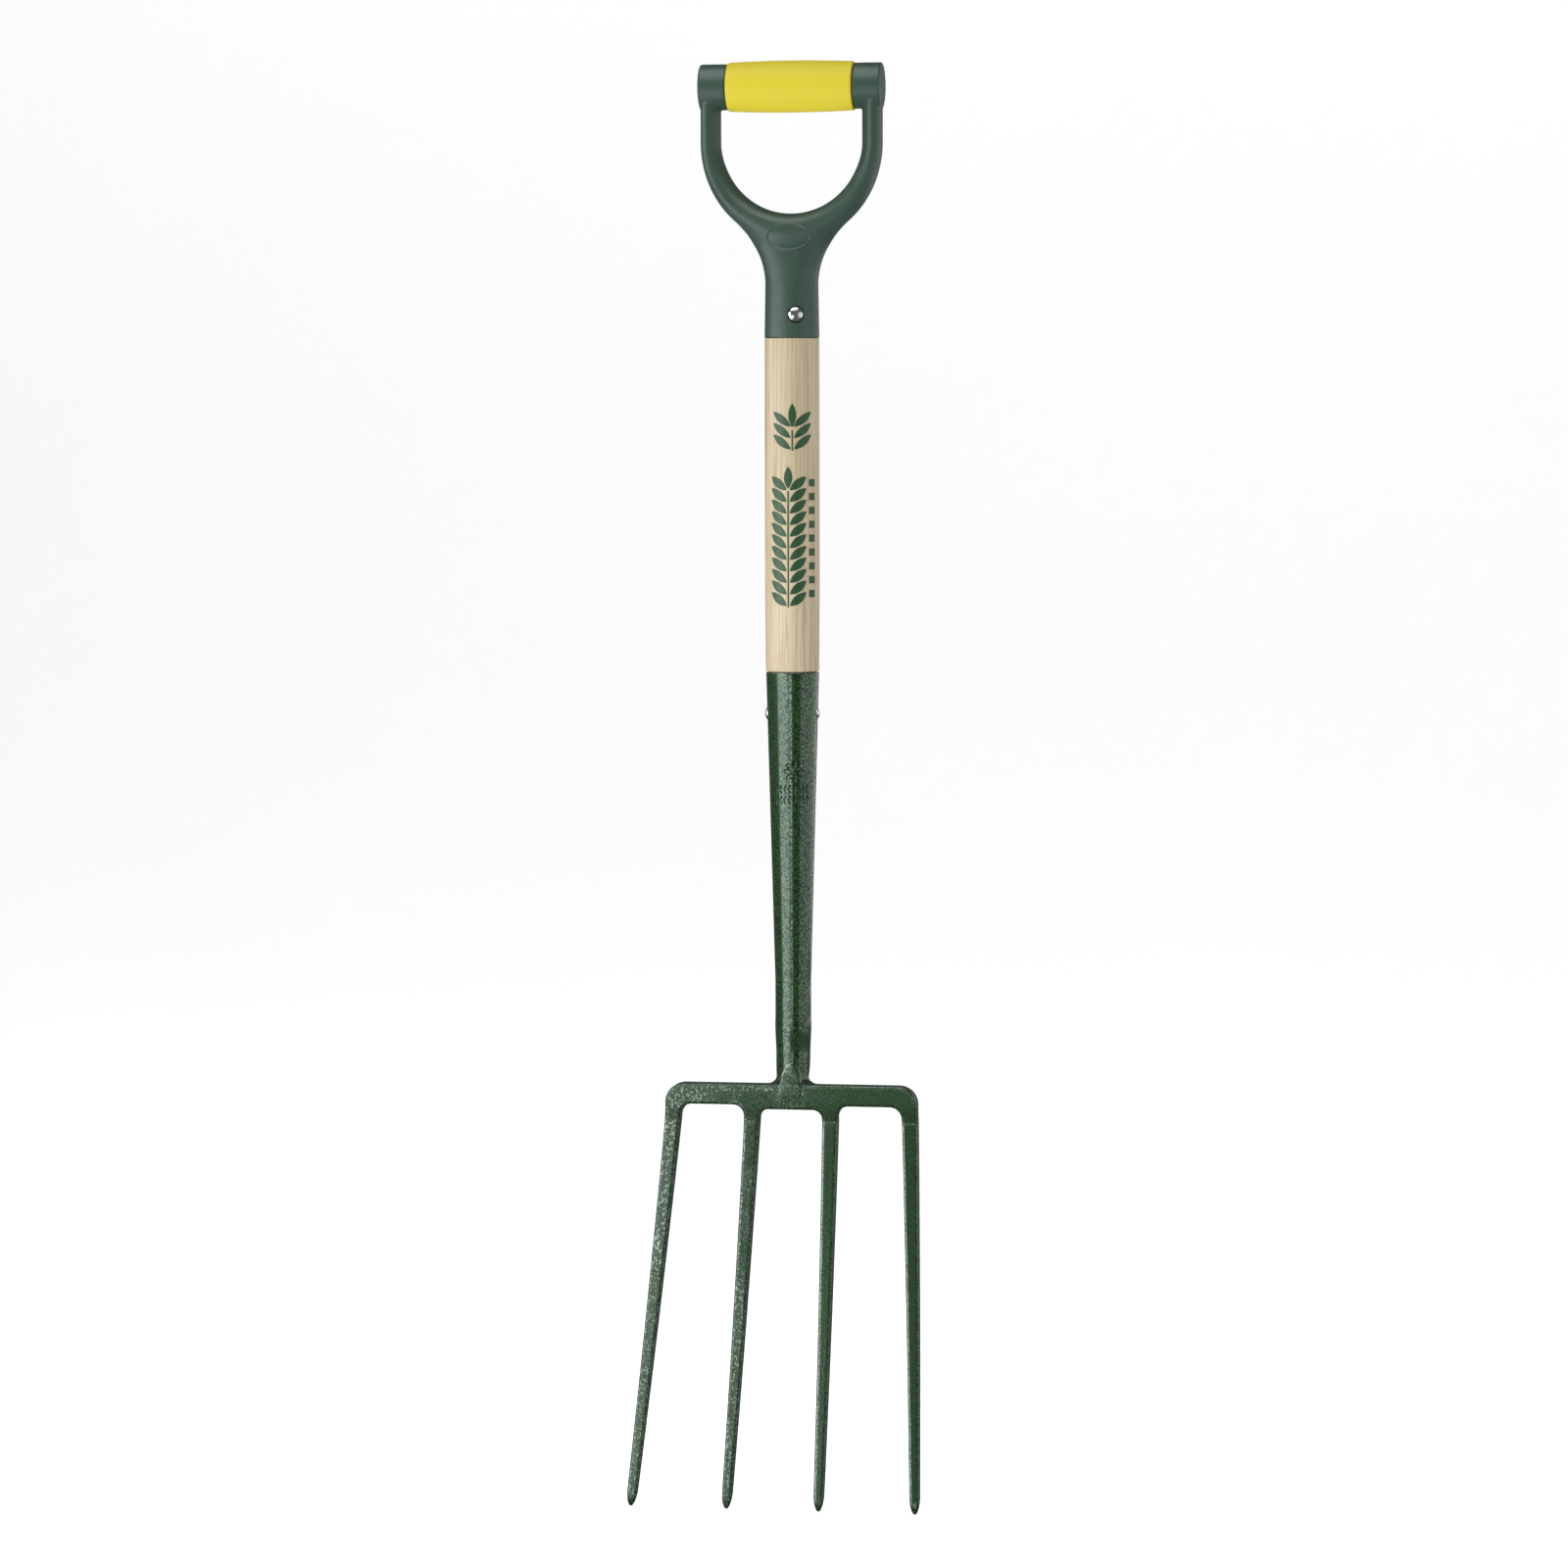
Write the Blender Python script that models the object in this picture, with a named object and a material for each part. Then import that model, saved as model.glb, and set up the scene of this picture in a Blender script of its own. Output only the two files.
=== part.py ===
"""Four-tine garden fork: D handle, ash shaft, tapered steel socket, forged bridge and four tines.

Units are metres. +Z is up, -Y is the front, which the tines curve towards, and X runs along the bridge.
The origin is the hang point, the middle of the grip's underside. Heights in the constants below are
measured upwards from the tine tips, and at_height turns one into a Z coordinate.
"""

import math

import bmesh
import bpy
from mathutils import Matrix, Vector

# Whole tool
OVERALL_HEIGHT = 1.017
GAP = 0.0003  # between pieces that touch
ROUND_STEPS = 36

# Grip and hubs, turned about a horizontal axis
GRIP_CROWN_DIAMETER = 0.0366
GRIP_END_DIAMETER = 0.0346
GRIP_LENGTH = 0.0906
GRIP_EDGE_RADIUS = 0.0012
CORE_DIAMETER = 0.0170
HUB_DIAMETER = 0.0324
HUB_EDGE_RADIUS = 0.0016
HANDLE_WIDTH = 0.1300

# Yoke: a U of varying section round the hand opening
OPENING_WIDTH = 0.1004
OPENING_BOTTOM_HEIGHT = 0.9094
LEG_WIDTH = 0.0146
YOKE_BOTTOM_WIDTH = 0.0206
LEG_DEPTH = 0.0240
YOKE_BOTTOM_DEPTH = 0.0285
YOKE_ROUNDNESS = 2.6  # superellipse exponent, 2 is an ellipse

# Handle neck and socket
HANDLE_SOCKET_END_HEIGHT = 0.8215
WAIST_HEIGHT = 0.8590
HANDLE_SOCKET_END_DIAMETER = 0.0388
WAIST_DIAMETER = 0.0376
NECK_FLARE_RADIUS = 0.0550
NECK_TOP_HEIGHT = 0.9015
NECK_TOP_DEPTH = 0.0262

# Shaft
SHAFT_DIAMETER = 0.0388
SHAFT_TAPER_START_HEIGHT = 0.6500
SHAFT_SHOULDER_DIAMETER = 0.0378
TENON_DIAMETER = 0.0300
TENON_LENGTH = 0.0580
SHAFT_END_HEIGHT = 0.4000
CHAMFER = 0.0010

# Steel socket
SOCKET_RIM_HEIGHT = 0.5850
SOCKET_RIM_DIAMETER = 0.0376
SOCKET_TAPER_END_HEIGHT = 0.3650
SOCKET_NECK_DIAMETER = 0.0255
SOCKET_END_HEIGHT = 0.3310
SOCKET_WALL = 0.0022

# Rivets
RIVET_SHANK_DIAMETER = 0.0060
HANDLE_RIVET_HEIGHT = 0.8379
HANDLE_RIVET_HEAD_DIAMETER = 0.0106
HANDLE_RIVET_HEAD_RISE = 0.0028
HANDLE_RIVET_SEAT_DIAMETER = 0.0122
HANDLE_RIVET_SEAT_FROM_AXIS = 0.0174
HANDLE_RIVET_TURN = math.radians(18)  # drilled a little round from the front
BURR_DIAMETER = 0.0106
BURR_THICKNESS = 0.0012
SOCKET_RIVET_HEIGHT = 0.5555
SOCKET_RIVET_HEAD_DIAMETER = 0.0090
SOCKET_RIVET_TAIL_DIAMETER = 0.0070
SOCKET_RIVET_HEAD_RISE = 0.0024
SOCKET_RIVET_TAIL_RISE = 0.0016
SOCKET_RIVET_SEAT_FROM_AXIS = 0.0170

# Forged bridge and neck
BRIDGE_TOP_HEIGHT = 0.2912
BRIDGE_WIDTH = 0.1816
BRIDGE_DEPTH = 0.0148
BRIDGE_MIDDLE_DEPTH = 0.0178
BRIDGE_THICKNESS = 0.0130
BRIDGE_FORWARD = 0.0080  # the bridge's middle plane is this far in front of the shaft's axis
BRIDGE_EDGE_CHAMFER = 0.0012
TREAD_CORNER_RADIUS = 0.0135
ROOT_CORNER_RADIUS = 0.0080
MIDDLE_ROOT_CORNER_RADIUS = 0.0066
NECK_WIDTH = 0.0244
NECK_SHOULDER_HEIGHT = 0.3270
NECK_FILLET_RADIUS = 0.0060
NECK_FILLET_SINK = 0.0007  # the fillet starts this far inside the bridge
NECK_SETBACK_HEIGHT = 0.0240  # over this height the neck moves back from the bridge to the shaft's axis
TANG_DIAMETER = 0.0190
TANG_TOP_HEIGHT = 0.3750
WELD_DIAMETER = 0.0262

# Tines
TINE_ROOT_HEIGHT = 0.2655
TINE_ROOT_SIZE = 0.0110
TINE_END_SIZE = 0.0070
TINE_POINT_LENGTH = 0.0115
TINE_POINT_SIZE = 0.0012
TINE_CHAMFER_SHARE = 0.14
TINE_ROOT_LEAN = math.radians(14.5)
TINE_TIP_LEAN = math.radians(19.8)
INNER_TINE_ROOT_X = 0.0283
INNER_TINE_TIP_X = 0.0328
OUTER_TINE_ROOT_X = 0.0857
OUTER_TINE_TIP_X = 0.1012

HANG_HEIGHT = OVERALL_HEIGHT - GRIP_CROWN_DIAMETER
GRIP_AXIS_HEIGHT = OVERALL_HEIGHT - GRIP_CROWN_DIAMETER / 2

# Colour, roughness and metallic value of each material
FINISHES = {
    "green_plastic": ((0.047, 0.092, 0.070), 0.42, 0.0),
    "yellow_grip": ((0.690, 0.600, 0.030), 0.62, 0.0),
    "bright_steel": ((0.800, 0.800, 0.790), 0.18, 1.0),
    "ash_wood": ((0.640, 0.480, 0.290), 0.55, 0.0),
    "hammered_green": ((0.055, 0.125, 0.065), 0.30, 0.4),
}


def at_height(height):
    return height - HANG_HEIGHT


def clear_scene():
    for obj in list(bpy.data.objects):
        bpy.data.objects.remove(obj, do_unlink=True)


def material(name):
    """The named Principled BSDF material, made on first use."""
    if name in bpy.data.materials:
        return bpy.data.materials[name]
    colour, roughness, metallic = FINISHES[name]
    made = bpy.data.materials.new(name)
    made.use_nodes = True
    shader = made.node_tree.nodes["Principled BSDF"]
    shader.inputs["Base Color"].default_value = (*colour, 1.0)
    shader.inputs["Roughness"].default_value = roughness
    shader.inputs["Metallic"].default_value = metallic
    return made


def add_object(name, bm, finish=None):
    """Turns the bmesh into an object, shaded smooth except at sharp edges. Without a finish it is a helper."""
    bmesh.ops.recalc_face_normals(bm, faces=bm.faces)
    mesh = bpy.data.meshes.new(name)
    bm.to_mesh(mesh)
    bm.free()
    mesh.shade_smooth()
    mesh.set_sharp_from_angle(angle=math.radians(35))
    obj = bpy.data.objects.new(name, mesh)
    bpy.context.scene.collection.objects.link(obj)
    if finish:
        mesh.materials.append(material(finish))
    else:
        obj.hide_render = True
        obj.display_type = "WIRE"
    return obj


def combine(obj, helper, operation):
    """Adds a Boolean of the helper to the object."""
    modifier = obj.modifiers.new(helper.name, "BOOLEAN")
    modifier.operation = operation
    modifier.object = helper
    modifier.solver = "EXACT"


def turned(name, profile, finish=None, closed=False):
    """A body of revolution about Z. The profile is (radius, z) points, a closed loop for a tube."""
    bm = bmesh.new()
    points = [bm.verts.new((radius, 0, z)) for radius, z in profile]
    pairs = list(zip(points, points[1:]))
    if closed:
        pairs.append((points[-1], points[0]))
    edges = [bm.edges.new(pair) for pair in pairs]
    bmesh.ops.spin(
        bm,
        geom=points + edges,
        cent=(0, 0, 0),
        axis=(0, 0, 1),
        angle=math.tau,
        steps=ROUND_STEPS,
        use_merge=True,
    )
    bmesh.ops.remove_doubles(bm, verts=bm.verts, dist=1e-6)
    return add_object(name, bm, finish)


def loft(name, rings, finish=None):
    """Skins a list of rings that have the same number of points, and caps both ends."""
    bm = bmesh.new()
    loops = [[bm.verts.new(point) for point in ring] for ring in rings]
    count = len(rings[0])
    for lower, upper in zip(loops, loops[1:]):
        for i in range(count):
            j = (i + 1) % count
            bm.faces.new((lower[i], lower[j], upper[j], upper[i]))
    bm.faces.new(loops[0])
    bm.faces.new(loops[-1])
    return add_object(name, bm, finish)


def superellipse(half_a, half_b, exponent, count):
    """Points (a, b) of a rounded section, from a round ellipse towards a rectangle as the exponent grows."""
    points = []
    for i in range(count):
        angle = math.tau * (i + 0.5) / count
        cos, sin = math.cos(angle), math.sin(angle)
        a = half_a * math.copysign(abs(cos) ** (2 / exponent), cos)
        b = half_b * math.copysign(abs(sin) ** (2 / exponent), sin)
        points.append((a, b))
    return points


def arc(centre, radius, start, end, steps):
    """Points of an arc from start to end, both angles in degrees."""
    points = []
    for i in range(steps + 1):
        angle = math.radians(start + (end - start) * i / steps)
        points.append((centre[0] + radius * math.cos(angle), centre[1] + radius * math.sin(angle)))
    return points


def rounded_outline(corners, steps=5):
    """A closed outline through (a, b, radius) corners, each rounded to its radius; 0 keeps it sharp."""
    points = []
    for i, (a, b, radius) in enumerate(corners):
        corner = Vector((a, b))
        if radius == 0:
            points.append(corner)
            continue
        before = (Vector(corners[i - 1][:2]) - corner).normalized()
        after = (Vector(corners[(i + 1) % len(corners)][:2]) - corner).normalized()
        half_angle = before.angle(after) / 2
        centre = corner + (before + after).normalized() * radius / math.sin(half_angle)
        start = corner + before * radius / math.tan(half_angle) - centre
        end = corner + after * radius / math.tan(half_angle) - centre
        for step in range(steps + 1):
            points.append(centre + start.slerp(end, step / steps).normalized() * radius)
    return points


def inset(outline, distance):
    """The outline moved inwards by the distance, with mitred corners. It runs clockwise."""
    points = [Vector(point) for point in outline]
    moved = []
    for i, point in enumerate(points):
        before = (point - points[i - 1]).normalized()
        after = (points[(i + 1) % len(points)] - point).normalized()
        inwards = Vector((before.y + after.y, -before.x - after.x)).normalized()
        moved.append(point + inwards * distance / inwards.dot(Vector((after.y, -after.x))))
    return moved


def cross_pin(name, radius, start, end, height, turn, finish=None):
    """A round pin through the shaft's axis. Its start and end are distances from that axis."""
    pin = turned(name, [(0, start), (radius, start), (radius, end), (0, end)], finish)
    lay_across(pin, height, turn)
    return pin


def lay_across(obj, height, turn):
    """Lays an object turned about Z so that its +Z points forwards, then turns it round the shaft.

    The small spin about its own axis keeps its facets' edges off the edges of the pieces that it cuts.
    """
    obj.matrix_world = (
        Matrix.Translation((0, 0, at_height(height)))
        @ Matrix.Rotation(turn, 4, "Z")
        @ Matrix.Rotation(math.radians(90), 4, "X")
        @ Matrix.Rotation(math.tau / ROUND_STEPS / 3, 4, "Z")
    )


# Handle


def spool_profile():
    """(radius, distance along the grip's axis) of the core bar with its two hubs."""
    core = CORE_DIAMETER / 2
    hub = HUB_DIAMETER / 2
    inner = GRIP_LENGTH / 2
    outer = HANDLE_WIDTH / 2
    edge = HUB_EDGE_RADIUS
    right = [(core, inner)]
    right += [(radius, x) for x, radius in arc((inner + edge, hub - edge), edge, 180, 90, 3)]
    right += [(radius, x) for x, radius in arc((outer - edge, hub - edge), edge, 90, 0, 3)]
    right += [(0, outer)]
    left = [(radius, -x) for radius, x in reversed(right)]
    return left + right


def yoke_rings():
    """Sections of the U from the left hub, round under the opening, to the right hub."""
    inner_radius = OPENING_WIDTH / 2
    centre = at_height(OPENING_BOTTOM_HEIGHT + inner_radius)
    top = at_height(GRIP_AXIS_HEIGHT)
    stations = [(0, top), (0, (top + centre) / 2)]
    stations += [(math.pi * i / 28, centre) for i in range(29)]
    stations += [(math.pi, (top + centre) / 2), (math.pi, top)]
    rings = []
    for angle, z in stations:
        drop = math.sin(angle) ** 2
        width = LEG_WIDTH + (YOKE_BOTTOM_WIDTH - LEG_WIDTH) * drop
        depth = LEG_DEPTH + (YOKE_BOTTOM_DEPTH - LEG_DEPTH) * drop
        middle = inner_radius + width / 2
        outward = Vector((-math.cos(angle), 0, -math.sin(angle)))
        ring = []
        for a, b in superellipse(width / 2, depth / 2, YOKE_ROUNDNESS, 20):
            ring.append(Vector((0, b, z)) + outward * (middle + a))
        rings.append(ring)
    return rings


def neck_rings():
    """Sections from the end of the handle's socket up into the bottom of the yoke."""
    rings = []
    heights = [HANDLE_SOCKET_END_HEIGHT + (WAIST_HEIGHT - HANDLE_SOCKET_END_HEIGHT) * i / 2 for i in range(2)]
    heights += [WAIST_HEIGHT + (NECK_TOP_HEIGHT - WAIST_HEIGHT) * i / 6 for i in range(7)]
    for height in heights:
        if height <= WAIST_HEIGHT:
            share = (height - HANDLE_SOCKET_END_HEIGHT) / (WAIST_HEIGHT - HANDLE_SOCKET_END_HEIGHT)
            half_width = (HANDLE_SOCKET_END_DIAMETER * (1 - share) + WAIST_DIAMETER * share) / 2
            half_depth = half_width
        else:
            rise = height - WAIST_HEIGHT
            share = rise / (NECK_TOP_HEIGHT - WAIST_HEIGHT)
            flare = NECK_FLARE_RADIUS - math.sqrt(NECK_FLARE_RADIUS**2 - rise**2)
            half_width = WAIST_DIAMETER / 2 + flare
            half_depth = (WAIST_DIAMETER * (1 - share) + NECK_TOP_DEPTH * share) / 2
        ring = [(a, b, at_height(height)) for a, b in superellipse(half_width, half_depth, 2.0, ROUND_STEPS)]
        rings.append(ring)
    return rings


def handle_bore():
    """The cutter for the tenon's bore, open at the bottom of the handle's socket."""
    radius = TENON_DIAMETER / 2 + GAP
    bottom = at_height(HANDLE_SOCKET_END_HEIGHT)
    top = bottom + TENON_LENGTH + GAP
    return turned("tenon_bore", [(0, top), (radius, top), (radius, bottom - 0.005), (0, bottom - 0.005)])


def make_handle_frame():
    frame = loft("handle_frame", yoke_rings(), "green_plastic")
    spool = turned("core_and_hubs", spool_profile())
    spool.matrix_world = Matrix.Translation((0, 0, at_height(GRIP_AXIS_HEIGHT))) @ Matrix.Rotation(
        math.radians(90), 4, "Y"
    )
    seat_radius = HANDLE_RIVET_SEAT_DIAMETER / 2
    far = HANDLE_SOCKET_END_DIAMETER
    seat = HANDLE_RIVET_SEAT_FROM_AXIS
    hole_radius = RIVET_SHANK_DIAMETER / 2 + GAP
    height, turn = HANDLE_RIVET_HEIGHT, HANDLE_RIVET_TURN
    combine(frame, spool, "UNION")
    combine(frame, loft("neck", neck_rings()), "UNION")
    combine(frame, handle_bore(), "DIFFERENCE")
    combine(frame, cross_pin("rivet_hole", hole_radius, -far, far, height, turn), "DIFFERENCE")
    combine(frame, cross_pin("front_rivet_seat", seat_radius, seat, far, height, turn), "DIFFERENCE")
    combine(frame, cross_pin("back_rivet_seat", seat_radius, -far, -seat, height, turn), "DIFFERENCE")


def make_grip_sleeve():
    """The crowned sleeve round the core bar, between the hubs."""
    half_length = GRIP_LENGTH / 2 - GAP
    bore = CORE_DIAMETER / 2 + GAP
    crown = GRIP_CROWN_DIAMETER / 2
    end = GRIP_END_DIAMETER / 2
    edge = GRIP_EDGE_RADIUS
    outside = []
    for i in range(11):
        x = (half_length - edge) * (i / 5 - 1)
        radius = crown - (crown - end) * (x / half_length) ** 2
        outside.append((radius, x))
    profile = [(bore, -half_length), (end - edge, -half_length), *outside]
    profile += [(end - edge, half_length), (bore, half_length)]
    sleeve = turned("grip_sleeve", profile, "yellow_grip", closed=True)
    sleeve.matrix_world = Matrix.Translation((0, 0, at_height(GRIP_AXIS_HEIGHT))) @ Matrix.Rotation(
        math.radians(90), 4, "Y"
    )


def dome(radius, rise, base, steps=5):
    """(radius, z) of a domed head that stands on z = base, from its rim to its top."""
    return [
        (radius * math.cos(math.pi / 2 * i / steps), base + rise * math.sin(math.pi / 2 * i / steps))
        for i in range(steps + 1)
    ]


def mirrored_dome(radius, rise, base):
    """The same head standing the other way, from its top to its rim."""
    return [(r, -z) for r, z in reversed(dome(radius, rise, base))]


def make_handle_rivet():
    shank = RIVET_SHANK_DIAMETER / 2
    head_base = HANDLE_RIVET_SEAT_FROM_AXIS + GAP
    tail_base = HANDLE_RIVET_SEAT_FROM_AXIS + BURR_THICKNESS + 2 * GAP
    tail = mirrored_dome(shank * 1.35, HANDLE_RIVET_HEAD_RISE / 2, tail_base)
    head = dome(HANDLE_RIVET_HEAD_DIAMETER / 2, HANDLE_RIVET_HEAD_RISE, head_base)
    profile = [*tail, (shank, -tail_base), (shank, head_base), *head]
    rivet = turned("handle_rivet", profile, "bright_steel")
    lay_across(rivet, HANDLE_RIVET_HEIGHT, HANDLE_RIVET_TURN)

    hole = shank + GAP
    inner = -HANDLE_RIVET_SEAT_FROM_AXIS - GAP
    outer = inner - BURR_THICKNESS
    rim = BURR_DIAMETER / 2
    ring = [(hole, inner), (rim, inner), (rim, outer + CHAMFER / 2), (rim - CHAMFER / 2, outer), (hole, outer)]
    burr = turned("handle_rivet_burr", ring, "bright_steel", closed=True)
    lay_across(burr, HANDLE_RIVET_HEIGHT, HANDLE_RIVET_TURN)


# Shaft and steel socket


def socket_radius(height):
    """Outside radius of the steel socket: a straight taper, then a short cylinder."""
    if height <= SOCKET_TAPER_END_HEIGHT:
        return SOCKET_NECK_DIAMETER / 2
    share = (height - SOCKET_TAPER_END_HEIGHT) / (SOCKET_RIM_HEIGHT - SOCKET_TAPER_END_HEIGHT)
    return (SOCKET_NECK_DIAMETER * (1 - share) + SOCKET_RIM_DIAMETER * share) / 2


def shaft_profile():
    """(radius, z) of the shaft from its tapered end in the steel socket up to its tenon."""
    bottom = at_height(SHAFT_END_HEIGHT)
    end_radius = socket_radius(SHAFT_END_HEIGHT) - SOCKET_WALL - GAP
    rim_radius = socket_radius(SOCKET_RIM_HEIGHT) - SOCKET_WALL - GAP
    shoulder = at_height(SOCKET_RIM_HEIGHT) + GAP
    shoulder_radius = SHAFT_SHOULDER_DIAMETER / 2
    radius = SHAFT_DIAMETER / 2
    top = at_height(HANDLE_SOCKET_END_HEIGHT) - GAP
    tenon = TENON_DIAMETER / 2
    tenon_top = at_height(HANDLE_SOCKET_END_HEIGHT) + TENON_LENGTH
    return [
        (0, bottom),
        (end_radius - 2 * CHAMFER, bottom),
        (end_radius, bottom + 3 * CHAMFER),
        (rim_radius, shoulder),
        (shoulder_radius - CHAMFER / 2, shoulder),
        (shoulder_radius, shoulder + CHAMFER / 2),
        (radius, at_height(SHAFT_TAPER_START_HEIGHT)),
        (radius, (at_height(SHAFT_TAPER_START_HEIGHT) + top) / 2),
        (radius, top),
        (tenon, top),
        (tenon, tenon_top - 2 * CHAMFER),
        (tenon - 2 * CHAMFER, tenon_top),
        (0, tenon_top),
    ]


def make_shaft():
    shaft = turned("shaft", shaft_profile(), "ash_wood")
    hole = RIVET_SHANK_DIAMETER / 2 + GAP
    far = SHAFT_DIAMETER
    handle_hole = cross_pin("tenon_rivet_hole", hole, -far, far, HANDLE_RIVET_HEIGHT, HANDLE_RIVET_TURN)
    socket_hole = cross_pin("shaft_rivet_hole", hole, -far, far, SOCKET_RIVET_HEIGHT, math.radians(90))
    combine(shaft, handle_hole, "DIFFERENCE")
    combine(shaft, socket_hole, "DIFFERENCE")


def make_socket():
    """The tapered tube, open at both ends."""
    taper = SOCKET_RIM_HEIGHT - SOCKET_TAPER_END_HEIGHT
    heights = [SOCKET_END_HEIGHT] + [SOCKET_TAPER_END_HEIGHT + taper * i / 3 for i in range(4)]
    outside = [(socket_radius(height), at_height(height)) for height in heights]
    inside = [(radius - SOCKET_WALL, z) for radius, z in reversed(outside)]
    rim_radius, rim = outside.pop()
    outside += [(rim_radius, rim - CHAMFER / 2), (rim_radius - CHAMFER / 2, rim)]
    socket = turned("socket", outside + inside, "hammered_green", closed=True)
    hole = RIVET_SHANK_DIAMETER / 2 + GAP
    far = SOCKET_RIM_DIAMETER
    seat = SOCKET_RIVET_SEAT_FROM_AXIS
    head_seat = SOCKET_RIVET_HEAD_DIAMETER / 2 + 2 * GAP
    tail_seat = SOCKET_RIVET_TAIL_DIAMETER / 2 + 2 * GAP
    height, left = SOCKET_RIVET_HEIGHT, math.radians(-90)
    combine(socket, cross_pin("socket_rivet_hole", hole, -far, far, height, left), "DIFFERENCE")
    combine(socket, cross_pin("left_rivet_seat", head_seat, seat, far, height, left), "DIFFERENCE")
    combine(socket, cross_pin("right_rivet_seat", tail_seat, -far, -seat, height, left), "DIFFERENCE")


def make_socket_rivet():
    shank = RIVET_SHANK_DIAMETER / 2
    base = SOCKET_RIVET_SEAT_FROM_AXIS + GAP
    tail = mirrored_dome(SOCKET_RIVET_TAIL_DIAMETER / 2, SOCKET_RIVET_TAIL_RISE, base)
    head = dome(SOCKET_RIVET_HEAD_DIAMETER / 2, SOCKET_RIVET_HEAD_RISE, base)
    rivet = turned("socket_rivet", [*tail, (shank, -base), (shank, base), *head], "bright_steel")
    lay_across(rivet, SOCKET_RIVET_HEIGHT, math.radians(-90))


# Head


def bridge_outline():
    """Outline of the bridge and its four tine roots, in X and Z."""
    top = at_height(BRIDGE_TOP_HEIGHT)
    under = top - BRIDGE_DEPTH
    middle_under = top - BRIDGE_MIDDLE_DEPTH
    root = at_height(TINE_ROOT_HEIGHT)
    side = BRIDGE_WIDTH / 2
    half = TINE_ROOT_SIZE / 2
    inner = INNER_TINE_ROOT_X
    right = [
        (side, top, TREAD_CORNER_RADIUS),
        (side, root, 0),
        (side - TINE_ROOT_SIZE, root, 0),
        (side - TINE_ROOT_SIZE, under, ROOT_CORNER_RADIUS),
        (inner + half, under, ROOT_CORNER_RADIUS),
        (inner + half, root, 0),
        (inner - half, root, 0),
        (inner - half, middle_under, MIDDLE_ROOT_CORNER_RADIUS),
    ]
    left = [(-x, z, radius) for x, z, radius in reversed(right)]
    return rounded_outline(right + left)


def neck_half_width(height):
    """Half the forged neck's width, with its fillet onto the top of the bridge."""
    rise = max(height - BRIDGE_TOP_HEIGHT + NECK_FILLET_SINK, 0)
    fillet = NECK_FILLET_RADIUS
    if rise >= fillet:
        return NECK_WIDTH / 2
    return NECK_WIDTH / 2 + fillet - math.sqrt(fillet**2 - (fillet - rise) ** 2)


def forged_neck_rings():
    """Sections from inside the bridge up to the round shoulder under the weld."""
    start = BRIDGE_TOP_HEIGHT - BRIDGE_DEPTH / 2
    end = NECK_SHOULDER_HEIGHT
    fillet = NECK_FILLET_RADIUS
    foot = BRIDGE_TOP_HEIGHT - NECK_FILLET_SINK
    heights = [start]
    heights += [foot + fillet * share for share in (0.0, 0.12, 0.3, 0.5, 0.75, 1.0)]
    heights += [start + NECK_SETBACK_HEIGHT * share for share in (0.75, 1.0)]
    heights.append(end)
    rings = []
    for height in heights:
        share = min((height - start) / NECK_SETBACK_HEIGHT, 1)
        ease = share * share * (3 - 2 * share)
        half_depth = (BRIDGE_THICKNESS / 2 - GAP) * (1 - ease) + NECK_WIDTH / 2 * ease
        middle = -BRIDGE_FORWARD * (1 - ease)
        roundness = 4.0 * (1 - ease) + 2.0 * ease
        section = superellipse(neck_half_width(height), half_depth, roundness, ROUND_STEPS)
        rings.append([(a, middle + b, at_height(height)) for a, b in section])
    return rings


def make_head_bridge():
    """The forging: bridge, tine roots, neck, and the tang that enters the steel socket."""
    full = bridge_outline()
    chamfered = inset(full, BRIDGE_EDGE_CHAMFER)
    half = BRIDGE_THICKNESS / 2
    straight = half - BRIDGE_EDGE_CHAMFER
    rings = []
    for outline, y in ((chamfered, -half), (full, -straight), (full, straight), (chamfered, half)):
        rings.append([(x, y - BRIDGE_FORWARD, z) for x, z in outline])
    bridge = loft("head_bridge", rings, "hammered_green")

    radius = TANG_DIAMETER / 2
    low = at_height(NECK_SHOULDER_HEIGHT) - 0.006
    high = at_height(TANG_TOP_HEIGHT)
    tang = [(0, low), (radius, low), (radius, high - 2 * CHAMFER), (radius - 2 * CHAMFER, high), (0, high)]
    combine(bridge, loft("forged_neck", forged_neck_rings()), "UNION")
    combine(bridge, turned("tang", tang), "UNION")


def make_neck_weld():
    """The bead between the forged neck's shoulder and the end of the steel socket, round the tang."""
    bottom = at_height(NECK_SHOULDER_HEIGHT) + GAP
    top = at_height(SOCKET_END_HEIGHT) - GAP
    hole = TANG_DIAMETER / 2 + GAP
    crown = WELD_DIAMETER / 2
    edge = crown - CHAMFER
    bead = [(hole, bottom), (edge, bottom), (crown, bottom + CHAMFER)]
    bead += [(crown, top - CHAMFER), (edge, top), (hole, top)]
    turned("neck_weld", bead, "hammered_green", closed=True)


def tine_lean(height):
    """The tine's lean from upright at this height; it grows evenly from the root to the tip."""
    share = 1 - height / TINE_ROOT_HEIGHT
    return TINE_ROOT_LEAN + (TINE_TIP_LEAN - TINE_ROOT_LEAN) * share


def tine_forward(height):
    """Y of the tine's middle: the lean's tangent summed from the root down to this height."""
    bend = (TINE_TIP_LEAN - TINE_ROOT_LEAN) / TINE_ROOT_HEIGHT
    fall = math.log(math.cos(TINE_ROOT_LEAN)) - math.log(math.cos(tine_lean(height)))
    return -BRIDGE_FORWARD - fall / bend


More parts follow.
